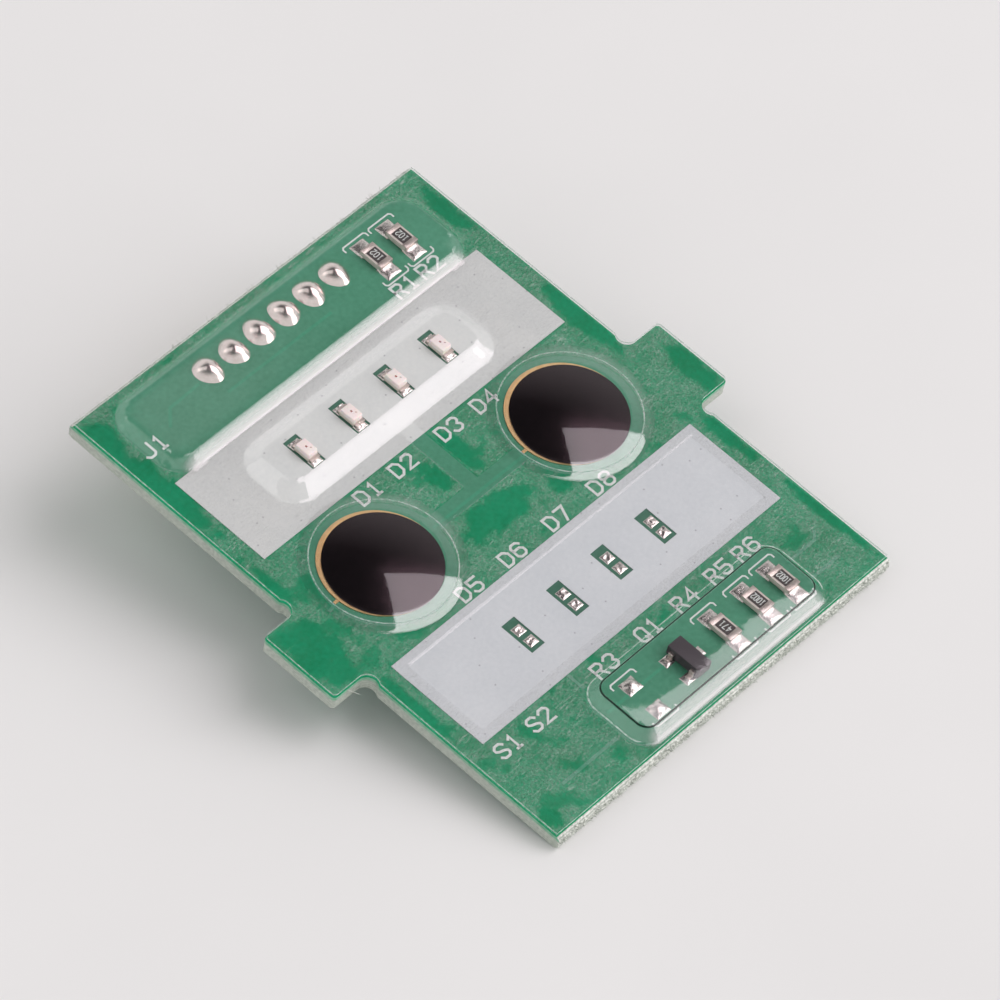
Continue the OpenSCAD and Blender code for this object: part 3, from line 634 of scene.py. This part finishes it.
def addRibbon(shape, line, width, low, top):
    # flat stroke with mitred corners and a little thickness
    loops = math.dist(line[0], line[-1]) < 1e-6
    sides = []
    for i, here in enumerate(line):
        before = line[i - 1] if i else (line[-2] if loops else None)
        after = line[i + 1] if i < len(line) - 1 else (line[1] if loops else None)
        ways = []
        if before:
            ways.append((Vector(here) - Vector(before)).normalized())
        if after:
            ways.append((Vector(after) - Vector(here)).normalized())
        way = sum(ways, Vector((0, 0))).normalized()
        across = Vector((-way.y, way.x))
        half = width / 2 / max(abs(across.dot(Vector((-ways[0].y, ways[0].x)))), 0.5)
        end = Vector((0, 0))
        if not before:
            end = -way * width / 2
        if not after:
            end = way * width / 2
        sides.append((Vector(here) + end + across * half, Vector(here) + end - across * half))
    rows = [
        [(a.x, a.y, low) for a, b in sides], [(a.x, a.y, top) for a, b in sides],
        [(b.x, b.y, top) for a, b in sides], [(b.x, b.y, low) for a, b in sides],
    ]
    addGrid(shape, rows)


def addWord(shape, word, at, size, width, low, top, quarterTurn=False):
    # size is the length of the word and the height of its letters
    gap = 6
    steps = (len(word) - 1) * gap + 4
    unitX, unitY = size[0] / steps, size[1] / 6
    for k, letter in enumerate(word):
        for line in strokes[letter]:
            placed = []
            for u, v in line:
                dx, dy = (k * gap + u - steps / 2) * unitX, (v - 3) * unitY
                placed.append((at[0] - dy, at[1] + dx) if quarterTurn else (at[0] + dx, at[1] + dy))
            addRibbon(shape, placed, width, low, top)


legend = {
    "size": (1.95, 1.12), "stroke": 0.19, "top": 0.02,
    "frameHalf": 1.15, "frameAt": 2.2, "frameLeg": 0.4, "frameCorner": 0.15, "frameStroke": 0.12,
}
legendWords = [
    ("D1", -5.9, 5.17), ("D2", -2.4, 5.17), ("D3", 2.3, 5.17), ("D4", 5.9, 5.17),
    ("D5", -6.6, -4.96), ("D6", -2.25, -4.96), ("D7", 2.3, -4.96), ("D8", 6.85, -4.96),
    ("R1", 9.05, 15.67), ("R2", 11.65, 15.67), ("J1", -14.1, 17.65),
    ("R3", -4.35, -15.4), ("Q1", 0.05, -15.4), ("R4", 3.85, -15.4), ("R5", 7.35, -15.4), ("R6", 10.2, -15.4),
    ("S1", -14.1, -15.4), ("S2", -10.9, -15.4),
]
chipSpots = [(9.25, 18.65), (11.85, 18.65), (3.93, -18.95), (7.3, -18.95), (10.0, -18.95)]
spareChip = (-4.28, -18.95)
legendShape = newShape()
for word, x, y in legendWords:
    addWord(legendShape, word, (x, y), legend["size"], legend["stroke"], 0, legend["top"])
for x, y in chipSpots + [spareChip]:
    for side in (1, -1):
        half, corner, bar = legend["frameHalf"], legend["frameCorner"], y + side * legend["frameAt"]
        foot = bar - side * legend["frameLeg"]
        line = [
            (x - half, foot), (x - half, bar - side * corner), (x - half + corner, bar),
            (x + half - corner, bar), (x + half, bar - side * corner), (x + half, foot),
        ]
        addRibbon(legendShape, line, legend["frameStroke"], 0, legend["top"])
makePiece("legend_marks", legendShape, [legendInk], sharp=35)

trace = {"width": 0.24, "top": 0.012}
traceLines = [
    [(-12.0, 18.1), (-10.9, 19.2), (-8.0, 19.3)], [(-6.8, 17.5), (3.4, 17.5)],
    [(-15.0, 0.18), (-14.0, 0.4)], [(-4.6, 0.18), (4.6, 0.18)],
    [(-7.0, -18.1), (-4.6, -18.1)], [(-3.5, -18.1), (-1.2, -18.1)],
    [(11.6, -18.1), (14.4, -18.1), (14.9, -17.6)], [(11.6, -20.1), (14.6, -20.1)],
    [(-13.5, -19.9), (-8.2, -19.9)], [(-6.8, -13.2), (-6.8, -15.6)],
]
traceShape = newShape()
for line in traceLines:
    addRibbon(traceShape, line, trace["width"], 0, trace["top"])
makePiece("traces_under_mask", traceShape, [maskOverCopper], sharp=35)

stub = {"from": 4.3, "to": 4.75, "half": 0.12, "top": 0.05}
stubShape = newShape()
for x, y in domeSpots.values():
    addRibbon(stubShape, [(x - stub["from"], y), (x - stub["to"], y)], stub["half"] * 2, 0, stub["top"])
makePiece("ring_stubs", stubShape, [goldPlate], sharp=35)
print("legend and traces made")


# solder: joints, fillets and tinned pads
joint = {
    "half": (1.06, 1.22), "shift": (0.05, 0.1), "height": 0.68, "slump": 0.05, "wobble": 0.04,
    "rings": 16, "turns": 56,
}
header = {"middle": -0.3, "y": 19.6, "pitch": 2.54, "pins": 6}
lampRow = {"middle": 0.13, "y": 10.38, "pitch": 4.52, "lamps": 4}


def spotsInRow(row, count):
    return [(row["middle"] + (i - (count - 1) / 2) * row["pitch"], row["y"]) for i in range(count)]


pinSpots = spotsInRow(header, header["pins"])
lampSpots = spotsInRow(lampRow, lampRow["lamps"])


def jointShape():
    # oval pads with a smooth mound of solder, each a little different
    shape = newShape()
    for x, y in pinSpots:
        rows, slump = [], random.uniform(-joint["slump"], joint["slump"])
        for k in range(joint["rings"], -1, -1):
            share = k / joint["rings"]
            height = joint["height"] * (1 - share ** 2) * (1 + slump)
            row = []
            for j in range(joint["turns"]):
                a = math.tau * j / joint["turns"]
                wobble = share * (1 + joint["wobble"] * math.sin(3 * a + 2 * x) + slump / 2)
                px = x + joint["shift"][0] + joint["half"][0] * wobble * math.cos(a)
                py = y + joint["shift"][1] + joint["half"][1] * wobble * math.sin(a)
                row.append((px, py, height))
            rows.append(row)
        addGrid(shape, rows, wrap=True)
    return shape


def addMound(shape, at, size, height, steps):
    # solder on a pad: height(u, v) in the middle, drawn down to the board at the rim
    rows, crisp = [], 6
    for i in range(steps + 1):
        v = math.sin(math.pi / 2 * (2 * i / steps - 1))
        row = []
        for j in range(steps + 1):
            u = math.sin(math.pi / 2 * (2 * j / steps - 1))
            edge = math.sqrt(max(1 - abs(u) ** crisp, 0)) * math.sqrt(max(1 - abs(v) ** crisp, 0))
            row.append((at[0] + u * size[0] / 2, at[1] + v * size[1] / 2, height(u, v) * edge))
        rows.append(row)
    addGrid(shape, rows)


def solderPads(name, size, mounds, steps=10):
    # mounds holds a place and a height function for each pad
    shape = newShape()
    for at, height in mounds:
        addMound(shape, at, size, height, steps)
    return makePiece(name, shape, [lumpySolder])


jointPiece = makePiece("pin_joints", jointShape(), [brightSolder])
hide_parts("header_solder")

fillet = {"size": (1.4, 1.25), "at": 1.3, "height": 0.36, "toe": 0.09, "crown": 0.06, "heel": 0.42}


def filletHeight(side):
    # high at the chip end, hollow, then a low rounded toe
    def height(u, v):
        climb = max(fillet["heel"] - (side * v + 1) / 2, 0) / fillet["heel"]
        low = fillet["toe"] + fillet["crown"] * (1 - u * u)
        return low + (fillet["height"] - fillet["toe"]) * climb ** 1.6
    return height


mounds = [((x, y + side * fillet["at"]), filletHeight(side)) for x, y in chipSpots for side in (1, -1)]
filletPiece = solderPads("chip_fillets", fillet["size"], mounds)
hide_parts("resistor_solder")

sparePad = {"size": (1.35, 1.2), "at": 1.25, "low": 0.05, "crown": 0.24}


def sparePadHeight(u, v):
    return sparePad["low"] + sparePad["crown"] * max(1 - u * u - v * v, 0)


mounds = [((spareChip[0], spareChip[1] + side * sparePad["at"]), sparePadHeight) for side in (1, -1)]
sparePiece = solderPads("empty_chip_pads", sparePad["size"], mounds, 14)
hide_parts("spare_resistor_pads")

# tinned pads of the empty lamp places, lower in the window than its middle and lumpy
lampPad = {"size": (0.85, 0.8), "right": 0.06, "up": (0.45, -0.7), "height": 0.07, "lump": 0.12}


def lampPadHeight(x, y):
    def height(u, v):
        lump = noise.noise(Vector((x * 5 + u * 1.4, y * 5 + v * 1.4, 3.0)))
        return lampPad["height"] + lampPad["lump"] * lump * (1 - u * u) * (1 - v * v)
    return height


padSpots = [(x + lampPad["right"], spareWindow["at"][1] + up) for x, _ in lampSpots for up in lampPad["up"]]
mounds = [(at, lampPadHeight(*at)) for at in padSpots]
padPiece = solderPads("empty_lamp_pads", lampPad["size"], mounds, 14)
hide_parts("spare_led_pads")

lampFillet = {"size": (1.0, 0.62), "at": 0.95, "low": 0.05, "height": 0.2, "lump": 0.16}


def lampFilletHeight(x, side):
    def height(u, v):
        lump = lampFillet["lump"] * noise.noise(Vector((x * 3 + u * 2, side * 7 + v * 2, 5.0)))
        climb = lampFillet["height"] * smoothStep(0.7, -0.4, side * v)
        return lampFillet["low"] + max(climb + lump, 0) * (1 - u * u)
    return height


mounds = [
    ((x, y + side * lampFillet["at"]), lampFilletHeight(x, side)) for x, y in lampSpots for side in (1, -1)
]
lampPadPiece = solderPads("lamp_fillets", lampFillet["size"], mounds, 16)
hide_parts("led_solder")

transistor = {"at": (0.15, -18.95), "leadReach": 1.05, "pitch": 1.9, "leads": ((-1, 1), (-1, -1), (1, 0))}
leadPad = {"size": (0.9, 0.8), "low": 0.06, "crown": 0.12}


def leadPadHeight(u, v):
    return leadPad["low"] + leadPad["crown"] * smoothStep(0.9, -0.4, abs(u)) * (1 - v * v)


mounds = []
for sx, sy in transistor["leads"]:
    x, y = transistor["at"]
    at = (x + sx * transistor["leadReach"], y + sy * transistor["pitch"] / 2)
    mounds.append((at, leadPadHeight))
leadPadPiece = solderPads("lead_fillets", leadPad["size"], mounds, 12)
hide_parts("transistor_solder")
print("solder made")


# the snap domes, which buckle as they are pressed
skirtSlot, stuckSlot, rimHighlightSlot, crownSlot = range(4)  # a blister's finishes


def polarShell(at, radii, heights, thick, turns, rimClosed, bondRadius=0, rimHighlightRadius=0):
    shape = newShape()
    above, below = [], []
    for r, z in zip(radii, heights):
        ring = circle(at, r, turns)
        above.append([(x, y, z) for x, y in ring])
        below.append([(x, y, z - thick) for x, y in ring])
    if rimClosed:
        addGrid(shape, above + below[::-1], wrap=True)
        return shape
    addGrid(shape, above, wrap=True, kind=skirtSlot)
    # one narrow ring of the top is painted white where the cap meets its foot: a painted highlight
    ring = sum(1 for r in radii if r < rimHighlightRadius) * turns
    shape["kinds"][ring:ring + turns] = [rimHighlightSlot] * turns
    addGrid(shape, below[::-1], wrap=True, kind=skirtSlot)
    # inside bondRadius the underside sticks to the dome and has no gloss, and the top is stretched
    inside = sum(1 for r in radii if r < bondRadius) * turns
    shape["kinds"][:inside] = [crownSlot] * inside
    shape["kinds"][-inside:] = [stuckSlot] * inside
    return shape


for side, at in domeSpots.items():
    low, high = dome["seat"] + dome["sheet"], dome["seat"] + dome["sheet"] + dome["rise"]
    shares = [k / dome["rings"] for k in range(dome["rings"] + 1)]
    radii = [dome["radius"] * share for share in shares]
    heights = [low + dome["rise"] * (1 - share ** 2) for share in shares]
    shell = makePiece(
        "dome_" + side, polarShell(at, radii, heights, dome["sheet"], dome["turns"], True), [domeSteelPaintedDark],
        body=None, sharp=40,
    )
    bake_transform(shell)
    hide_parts("snap_dome_" + side)
print("domes made")


# the adhesive spacer, with the patches where it wets the board
glueSheet = {
    "top": 0.185, "thick": 0.125, "inset": 0.02, "margin": 0.1, "step": 0.3, "columns": 68, "rows": 76,
    "shake": 0.05, "rag": 0.4, "prints": {10.15: 0.6, -9.95: 0.3}, "printHalf": (15.2, 4.2),
}
# places and half sizes
wetPatches = [
    (-0.5, -1.9, 3.0, 1.4), (1.3, 3.5, 0.9, 2.2), (-1.5, 3.2, 0.7, 1.6), (-16.2, 14.6, 1.0, 4.4),
    (-16.2, 20.3, 0.9, 2.0), (-16.5, 4.0, 0.5, 2.5), (-18.3, -1.9, 1.9, 3.0), (19.0, -2.6, 1.0, 2.4),
    (16.3, 5.6, 0.8, 3.6), (16.4, -8.2, 0.6, 2.6), (16.6, -17.0, 0.5, 3.9), (-16.3, -21.2, 0.7, 1.0),
    (-16.5, -9.0, 0.4, 3.8), (16.2, 18.3, 0.7, 2.4), (-14.4, 1.5, 0.6, 1.6), (4.6, -3.2, 0.9, 0.8),
]


def wetness(x, y):
    def mottle(scale, layer):
        return noise.noise(Vector((x * scale, y * scale, layer)))

    rag = glueSheet["rag"] * mottle(0.8, 4.0)
    rag += 0.5 * glueSheet["rag"] * mottle(2.4, 9.0)
    nearest = min(math.hypot((x - px) / rx, (y - py) / ry) for px, py, rx, ry in wetPatches)
    blots = mottle(0.55, 1.0) + 0.4 * mottle(1.9, 2.0)
    blots -= x / 110  # the left half was pressed harder
    wet = max(smoothStep(1.15, 0.9, nearest + rag), 0.85 * smoothStep(0.28, 0.5, blots))
    # it takes better to the ink of the two prints
    halfWide, halfTall = glueSheet["printHalf"]
    for at, share in glueSheet["prints"].items():
        if abs(x) < halfWide and abs(y - at) < halfTall:
            wet = max(wet, share)
    return wet


def glueShape():
    inset, step, shake = film["inset"] + glueSheet["inset"], glueSheet["step"], glueSheet["shake"]
    spots = []
    for i in range(-glueSheet["columns"], glueSheet["columns"] + 1):
        for j in range(-glueSheet["rows"], glueSheet["rows"] + 1):
            x, y = i * step + random.uniform(-shake, shake), j * step + random.uniform(-shake, shake)
            if insideOutline(x, y, inset + glueSheet["margin"]) and not inAir(x, y):
                spots.append((x, y))
    flat, triangles = triangulate(
        [outline(inset)] + airLoops, spots, lambda x, y: insideOutline(x, y, inset) and not inAir(x, y)
    )
    return sheetShape(flat, triangles, [glueSheet["top"]] * len(flat), glueSheet["thick"])


def paintPoints(piece, layerName, shareAt):
    # one value for each point, from its place on the board
    layer = piece.data.attributes.new(layerName, "FLOAT", "POINT")
    toBoard = toBench.inverted()
    spots = [toBoard @ v.co for v in piece.data.vertices]
    layer.data.foreach_set("value", [shareAt(p.x, p.y) for p in spots])


gluePiece = makePiece("adhesive_spacer", glueShape(), [glue], sharp=35, closed=False)
paintPoints(gluePiece, "wet", wetness)
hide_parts("spacer_adhesive")
print("adhesive made", len(gluePiece.data.vertices), "points")


# the cover film: one sheet with three embossed pockets, and a blister over each dome; the chip pocket's
# upper fold carries a dark line of painted shade, its foot a pale line of painted highlight, and its roof
# leans a little more toward the lower edge at the right end
crease = {"half": 0.06, "footHalf": 0.05, "clear": 0.12, "twist": 0.028}
clearSlot, foldShadeSlot, cutAndSheenSlot, bondedSlot = range(4)  # the sheet's finishes


def rampArea(t):
    return 0 if t < 0 else (t * t / 2 if t < 1 else t - 0.5)


def wallShare(depth, run):
    # straight wall with rounded folds at its foot and at its top
    t, fold = depth / run, film["fold"]
    return (rampArea(t + fold / 2) - rampArea(t - fold / 2)) / fold


def filmHeight(x, y):
    height = film["top"]
    for pocket in pockets.values():
        depth = inward(pocket, x, y)
        if depth > -pocket["run"]:
            u = 2 * (x - pocket["at"][0]) / pocket["size"][0]
            v = 2 * (y - pocket["at"][1]) / pocket["size"][1]
            bow = pocket["bow"] * max(1 - u ** 6, 0) * max(1 - v * v, 0)
            if pocket is pockets["chips"]:
                bow += crease["twist"] * (u + 1) / 2 * (y - pocket["at"][1])
            height += (pocket["height"] + bow) * wallShare(depth, pocket["run"])
    # the film stands a little higher over the air channel and sinks into the empty window
    ease, (start, end) = vent["ease"], vent["fade"]
    along = smoothStep(holeRadius + start, holeRadius + end, nearDome(x, y))
    if abs(x) < dome["x"]:
        channel = smoothStep(vent["low"] - ease, vent["low"] + ease, y)
        height += vent["rise"] * along * channel * smoothStep(vent["top"] + ease, vent["top"] - ease, y)
    (wide, tall), at, ease = spareWindow["size"], spareWindow["at"], spareWindow["ease"]
    border = min(wide / 2 - abs(x - at[0]), tall / 2 - abs(y - at[1]))
    return height - spareWindow["sink"] * smoothStep(-ease, ease, border)


def gridLines(low, high, walls):
    steps = int((high - low) / film["coarse"])
    lines = [low + (high - low) * i / steps for i in range(1, steps)]
    for start, end in walls:
        count = int(abs(end - start) / film["fine"])
        lines += [start + (end - start) * i / count for i in range(count + 1)]
    kept = []
    for value in sorted(lines):
        if not kept or value - kept[-1] > film["fine"] * 0.6:
            kept.append(value)
    return kept


def wallBands(axis):
    bands, spare = [], 0.2
    for pocket in pockets.values():
        for sign in (-1, 1):
            foot = pocket["at"][axis] + sign * pocket["size"][axis] / 2
            bands.append((foot + sign * spare, foot - sign * (pocket["run"] + 2 * spare)))
    for sign in (-1, 1):
        edge = spareWindow["at"][axis] + sign * spareWindow["size"][axis] / 2
        bands.append((edge - spare, edge + spare))
    if axis == 1:
        bands += [(vent["low"] - spare, vent["low"] + spare), (vent["top"] - spare, vent["top"] + spare)]
    return bands


# the dark line on the chip pocket's upper fold is painted shade, the pale line at its foot a painted
# highlight
def paintedLineKind(x, y):
    chips = pockets["chips"]
    depth = inward(chips, x, y)
    if abs(depth - chips["run"]) < crease["half"]:
        return foldShadeSlot
    onFoot = abs(depth) < crease["footHalf"]
    aboveCorner = y > chips["at"][1] - chips["size"][1] / 2 + chips["radius"] / 2
    return cutAndSheenSlot if onFoot and aboveCorner else clearSlot


def clearOfCrease(x, y):
    depth = inward(pockets["chips"], x, y)
    return abs(depth - pockets["chips"]["run"]) > crease["clear"] and not abs(depth) < crease["clear"]


def filmShape():
    inset, foot = film["inset"], blister["footRadius"]
    wide = board["halfWidth"] + board["tabOut"]
    spots = []
    for x in gridLines(-wide, wide, wallBands(0)):
        for y in gridLines(-topHalf, topHalf, wallBands(1)):
            inSheet = insideOutline(x, y, inset + 0.04) and nearDome(x, y) > foot + 0.06
            if inSheet and clearOfCrease(x, y):
                spots.append((x, y))
    chips = pockets["chips"]
    depths = [chips["run"] - crease["half"], chips["run"] + crease["half"]]
    depths += [-crease["footHalf"], crease["footHalf"]]
    loops = [outline(inset)] + [circle(at, foot, blister["turns"]) for at in domeSpots.values()]
    loops += [pocketLoop(chips, depth) for depth in depths]
    loops += [pocketLoop(pockets[name], 0) for name in ("header", "lamps")]
    loops.append(spareLoop)
    flat, triangles = triangulate(
        loops, spots, lambda x, y: insideOutline(x, y, inset) and nearDome(x, y) > foot * 0.999
    )
    heights = [filmHeight(p.x, p.y) for p in flat]
    return sheetShape(
        flat, triangles, heights, film["thick"], paintedLineKind,
        lambda x, y: clearSlot if inAir(x, y) else bondedSlot, cutAndSheenSlot,
        lambda x, y: nearDome(x, y) < foot + 0.02,
    )


filmPiece = makePiece(
    "cover_sheet", filmShape(), [filmClear, filmFoldShade, filmCutAndSheen, filmBonded],
    sharp=60, closed=False,
)
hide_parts("cover_film")


# the lower walls of two pockets are steep and painted milky white, most of all at the foot: a painted
# highlight standing in for their bright reflection
sheenWalls = {"header": (0.28, 0.46), "chips": (0.2, 0.42)}
roofHaze = {"share": 0.024, "ease": 0.8, "right": 6, "left": -10}


def sheenHazeShare(x, y):
    share = 0
    for name, (wall, foot) in sheenWalls.items():
        pocket = pockets[name]
        rise = y - pocket["at"][1] + pocket["size"][1] / 2
        ends = pocket["size"][0] / 2 - abs(x - pocket["at"][0])
        ends = smoothStep(pocket["radius"] * 0.3, pocket["radius"] * 0.9, ends)
        band = smoothStep(-0.16, 0.05, rise) * smoothStep(pocket["run"] * 1.2, pocket["run"] * 0.55, rise)
        share = max(share, ends * band * (wall + (foot - wall) * smoothStep(0.3, 0.0, rise)))
    # the roof over the pins is faintly hazed toward its left end
    pocket = pockets["header"]
    roof = smoothStep(pocket["run"], pocket["run"] + roofHaze["ease"], inward(pocket, x, y))
    return max(share, roofHaze["share"] * roof * smoothStep(roofHaze["right"], roofHaze["left"], x))


paintPoints(filmPiece, "sheenHaze", sheenHazeShare)
print("film made", len(filmPiece.data.vertices), "points")


def blisterHeight(r):
    # a cap over the dome, then a hollow foot that runs out flat into the sheet
    rise, cap, foot = blister["top"] - film["top"], blister["capRadius"], blister["footRadius"]
    if r <= cap:
        return film["top"] + rise * (1 - blister["capShare"] * (r / cap) ** 2)
    t, run = (r - cap) / (foot - cap), foot - cap
    edge, slope = rise * (1 - blister["capShare"]), -2 * rise * blister["capShare"] / cap
    return film["top"] + edge * (1 - 3 * t * t + 2 * t ** 3) + slope * run * (t - 2 * t * t + t ** 3)


for side, at in domeSpots.items():
    radii = [blister["footRadius"] * k / blister["rings"] for k in range(blister["rings"] + 1)]
    heights = [blisterHeight(r) for r in radii]
    shape = polarShell(
        at, radii, heights, film["thick"], blister["turns"], False, dome["radius"], blister["capRadius"]
    )
    shell = makePiece(
        "blister_" + side, shape, [filmSkirt, filmBonded, filmRimHighlight, filmOverDome],
        body=None, closed=False,
    )
    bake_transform(shell)
    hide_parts("film_button_" + side)
print("blisters made")


# dark glaze and white codes on the chip resistors, and the dies that show in the lamps
glaze = {"size": (0.94, 1.16), "corner": 0.06, "low": 0.515, "top": 0.535}
code = {"length": (0.86, 0.96), "height": 0.5, "stroke": 0.06, "top": 0.542}
glazeShape, codeShape = newShape(), newShape()
for (x, y), word in zip(chipSpots, ("102", "102", "471", "1002", "1002")):
    flat, triangles = triangulate(
        [roundedLoop((x, y), glaze["size"], glaze["corner"], 4)], [], lambda x, y: True
    )
    plate = sheetShape(flat, triangles, [glaze["top"]] * len(flat), glaze["top"] - glaze["low"])
    first = len(glazeShape["points"])
    glazeShape["points"] += plate["points"]
    glazeShape["faces"] += [tuple(first + i for i in face) for face in plate["faces"]]
    glazeShape["kinds"] += plate["kinds"]
    addWord(
        codeShape, word, (x, y), (code["length"][len(word) > 3], code["height"]), code["stroke"],
        glaze["top"], code["top"], quarterTurn=True,
    )
makePiece("chip_glazes", glazeShape, [chipGlaze], sharp=35)
makePiece("chip_codes", codeShape, [legendInk], sharp=35)

die = {"low": 0.695, "top": 0.704}
dieMarks = [([(0, 0.02), (0, 0.06)], 0.13), ([(0.16, -0.2), (0.22, -0.26)], 0.05)]  # line and width
dieShape = newShape()
for x, y in lampSpots:
    for line, width in dieMarks:
        addRibbon(dieShape, [(x + dx, y + dy) for dx, dy in line], width, die["low"], die["top"])
makePiece("lamp_dies", dieShape, [lampDie], sharp=35)


# finishes of the solids that stay as they are, with their sharp edges eased
def finish(node, material, ease):
    solid = frame["nodes"][node]
    solid.data.materials.clear()
    solid.data.materials.append(material)
    if ease:
        weld = solid.modifiers.new("weld", "WELD")
        weld.merge_threshold = 1e-6
        bevel = solid.modifiers.new("ease", "BEVEL")
        bevel.width, bevel.segments, bevel.limit_method = ease * 0.001, 3, "ANGLE"
        bevel.harden_normals = True
        solid.data.polygons.foreach_set("use_smooth", [True] * len(solid.data.polygons))


finishes = {
    "reflector_print_upper": (whitePrint, 0), "reflector_print_lower": (thinPrint, 0),
    "transistor_body": (mouldCompound, 0.06), "transistor_leads": (tinPlate, 0.03),
    "header_pins": (pinBrass, 0.08), "header_shroud": (shroudNylon, 0.12),
}
for side in domeSpots:
    finishes["ring_contact_" + side] = (goldPlate, 0)
    finishes["centre_contact_" + side] = (goldPlate, 0)
for i in range(1, 5):
    finishes[f"led_{i}_carrier"] = (lampCarrier, 0.02)
    finishes[f"led_{i}_lens"] = (lampResin, 0.08)
    finishes[f"led_{i}_ends"] = (tinPlate, 0.03)
for i in range(1, 6):
    finishes[f"resistor_{i}_body"] = (ceramic, 0.02)
    finishes[f"resistor_{i}_ends"] = (tinPlate, 0.04)
for node, (material, ease) in finishes.items():
    finish(node, material, ease)
print("finishes set")


# floor, lights and camera
stage = {"halfFloor": 4.0, "floorDark": "#E2E4E2", "floorLight": "#EBEDEB"}
matt = {"Roughness": 0.9, "Specular IOR Level": 0.1}
floorMaterial, tree, skin, mm = startMaterial("floor_paper_matt", matt)
paper = addNode(tree, "TexNoise", {"Vector": mm, "Scale": 1 / 40, "Detail": 3})
shades = {0: paper, 6: linear(stage["floorDark"]), 7: linear(stage["floorLight"])}
feedNode(tree, skin, {"Base Color": addNode(tree, "Mix", shades, 2, data_type="RGBA")})
reach = stage["halfFloor"]
floorMesh = bpy.data.meshes.new("floor")
floorMesh.from_pydata([(*c, 0) for c in boxLoop(-reach, reach, -reach, reach)], [], [(0, 1, 2, 3)])
floorMesh.materials.append(floorMaterial)
floor = bpy.data.objects.new("floor", floorMesh)
scene.collection.objects.link(floor)

# a soft room: pale near the horizon, dim overhead, so gloss has something to show
room = {"horizon": "#EEECEC", "overhead": "#484548", "paleBelow": 0.6, "dimAbove": 0.85}
world = bpy.data.worlds.new("studio_room")
world.use_nodes = True
scene.world = world
tree = world.node_tree
way = addNode(tree, "TexCoord", out="Generated")
height = addNode(tree, "SeparateXYZ", {0: way}, "Z")
span = {"Value": height, "From Min": room["paleBelow"], "From Max": room["dimAbove"]}
climb = addNode(tree, "MapRange", span)
shades = {0: climb, 6: linear(room["horizon"]), 7: linear(room["overhead"])}
tone = addNode(tree, "Mix", shades, 2, data_type="RGBA")
feedNode(tree, tree.nodes["Background"], {"Color": tone})

# the main softbox has its corner where the film mirrors the camera, so each blister shows that corner,
# the left one lights the left half of each solder joint, and the front one the lower pocket walls;
# directions are in the board's frame, distances and sizes in metres
softboxes = {
    "softbox_right": {
        "corner": (0.452, 0.286, 0.848), "edges": ((-0.533, -0.657, 0.534), (0.790, -0.552, -0.265)),
        "away": 3.0, "size": (3.25, 3.5), "radiance": 2.75, "colour": "#FFF5FA",
    },
    "softbox_left": {
        "corner": (0.05, 0.30, 0.95), "edges": ((-0.528, 0.829, -0.185), (-0.839, -0.474, 0.269)),
        "away": 3.0, "size": (4.2, 1.7), "radiance": 0.8, "colour": "#FFFDFC",
    },
    "softbox_front": {
        "corner": (0.85, -0.55, 0.16), "edges": ((-0.60, -0.80, 0.0), (0.08, -0.20, 0.97)),
        "away": 3.0, "size": (2.6, 2.3), "radiance": 2.5, "colour": "#FFF9FB",
    },
}
for name, box in softboxes.items():
    first, second = (Vector(e).normalized() for e in box["edges"])
    middle, across = (first + second).normalized(), (first - second).normalized()
    first, second = (middle + across).normalized(), (middle - across).normalized()
    spot = Vector(box["corner"]).normalized() * box["away"]
    spot += first * box["size"][0] / 2 + second * box["size"][1] / 2
    normal = first.cross(second)
    if normal.dot(spot) < 0:
        normal, second = -normal, -second
    lamp = bpy.data.lights.new(name, "AREA")
    lamp.shape, lamp.size, lamp.size_y = "RECTANGLE", box["size"][0], box["size"][1]
    lamp.color = linear(box["colour"])[:3]
    lamp.energy = box["radiance"] * math.pi * box["size"][0] * box["size"][1]
    holder = bpy.data.objects.new(name, lamp)
    facing = Matrix((first, second, normal)).transposed().to_4x4()
    holder.matrix_world = turn @ Matrix.Translation(spot) @ facing
    scene.collection.objects.link(holder)

view = {"place": (-0.251554, -0.223525, 0.363992), "turn": (43.0934, -0.5841, -47.9821), "lens": 259.2}
cameraData = bpy.data.cameras.new("camera")
cameraData.lens, cameraData.sensor_width = view["lens"], 36
cameraData.clip_start = 0.01
camera = bpy.data.objects.new("camera", cameraData)
camera.location = view["place"]
camera.rotation_euler = Euler([math.radians(a) for a in view["turn"]])
scene.collection.objects.link(camera)
scene.camera = camera
print("floor, lights and camera set")
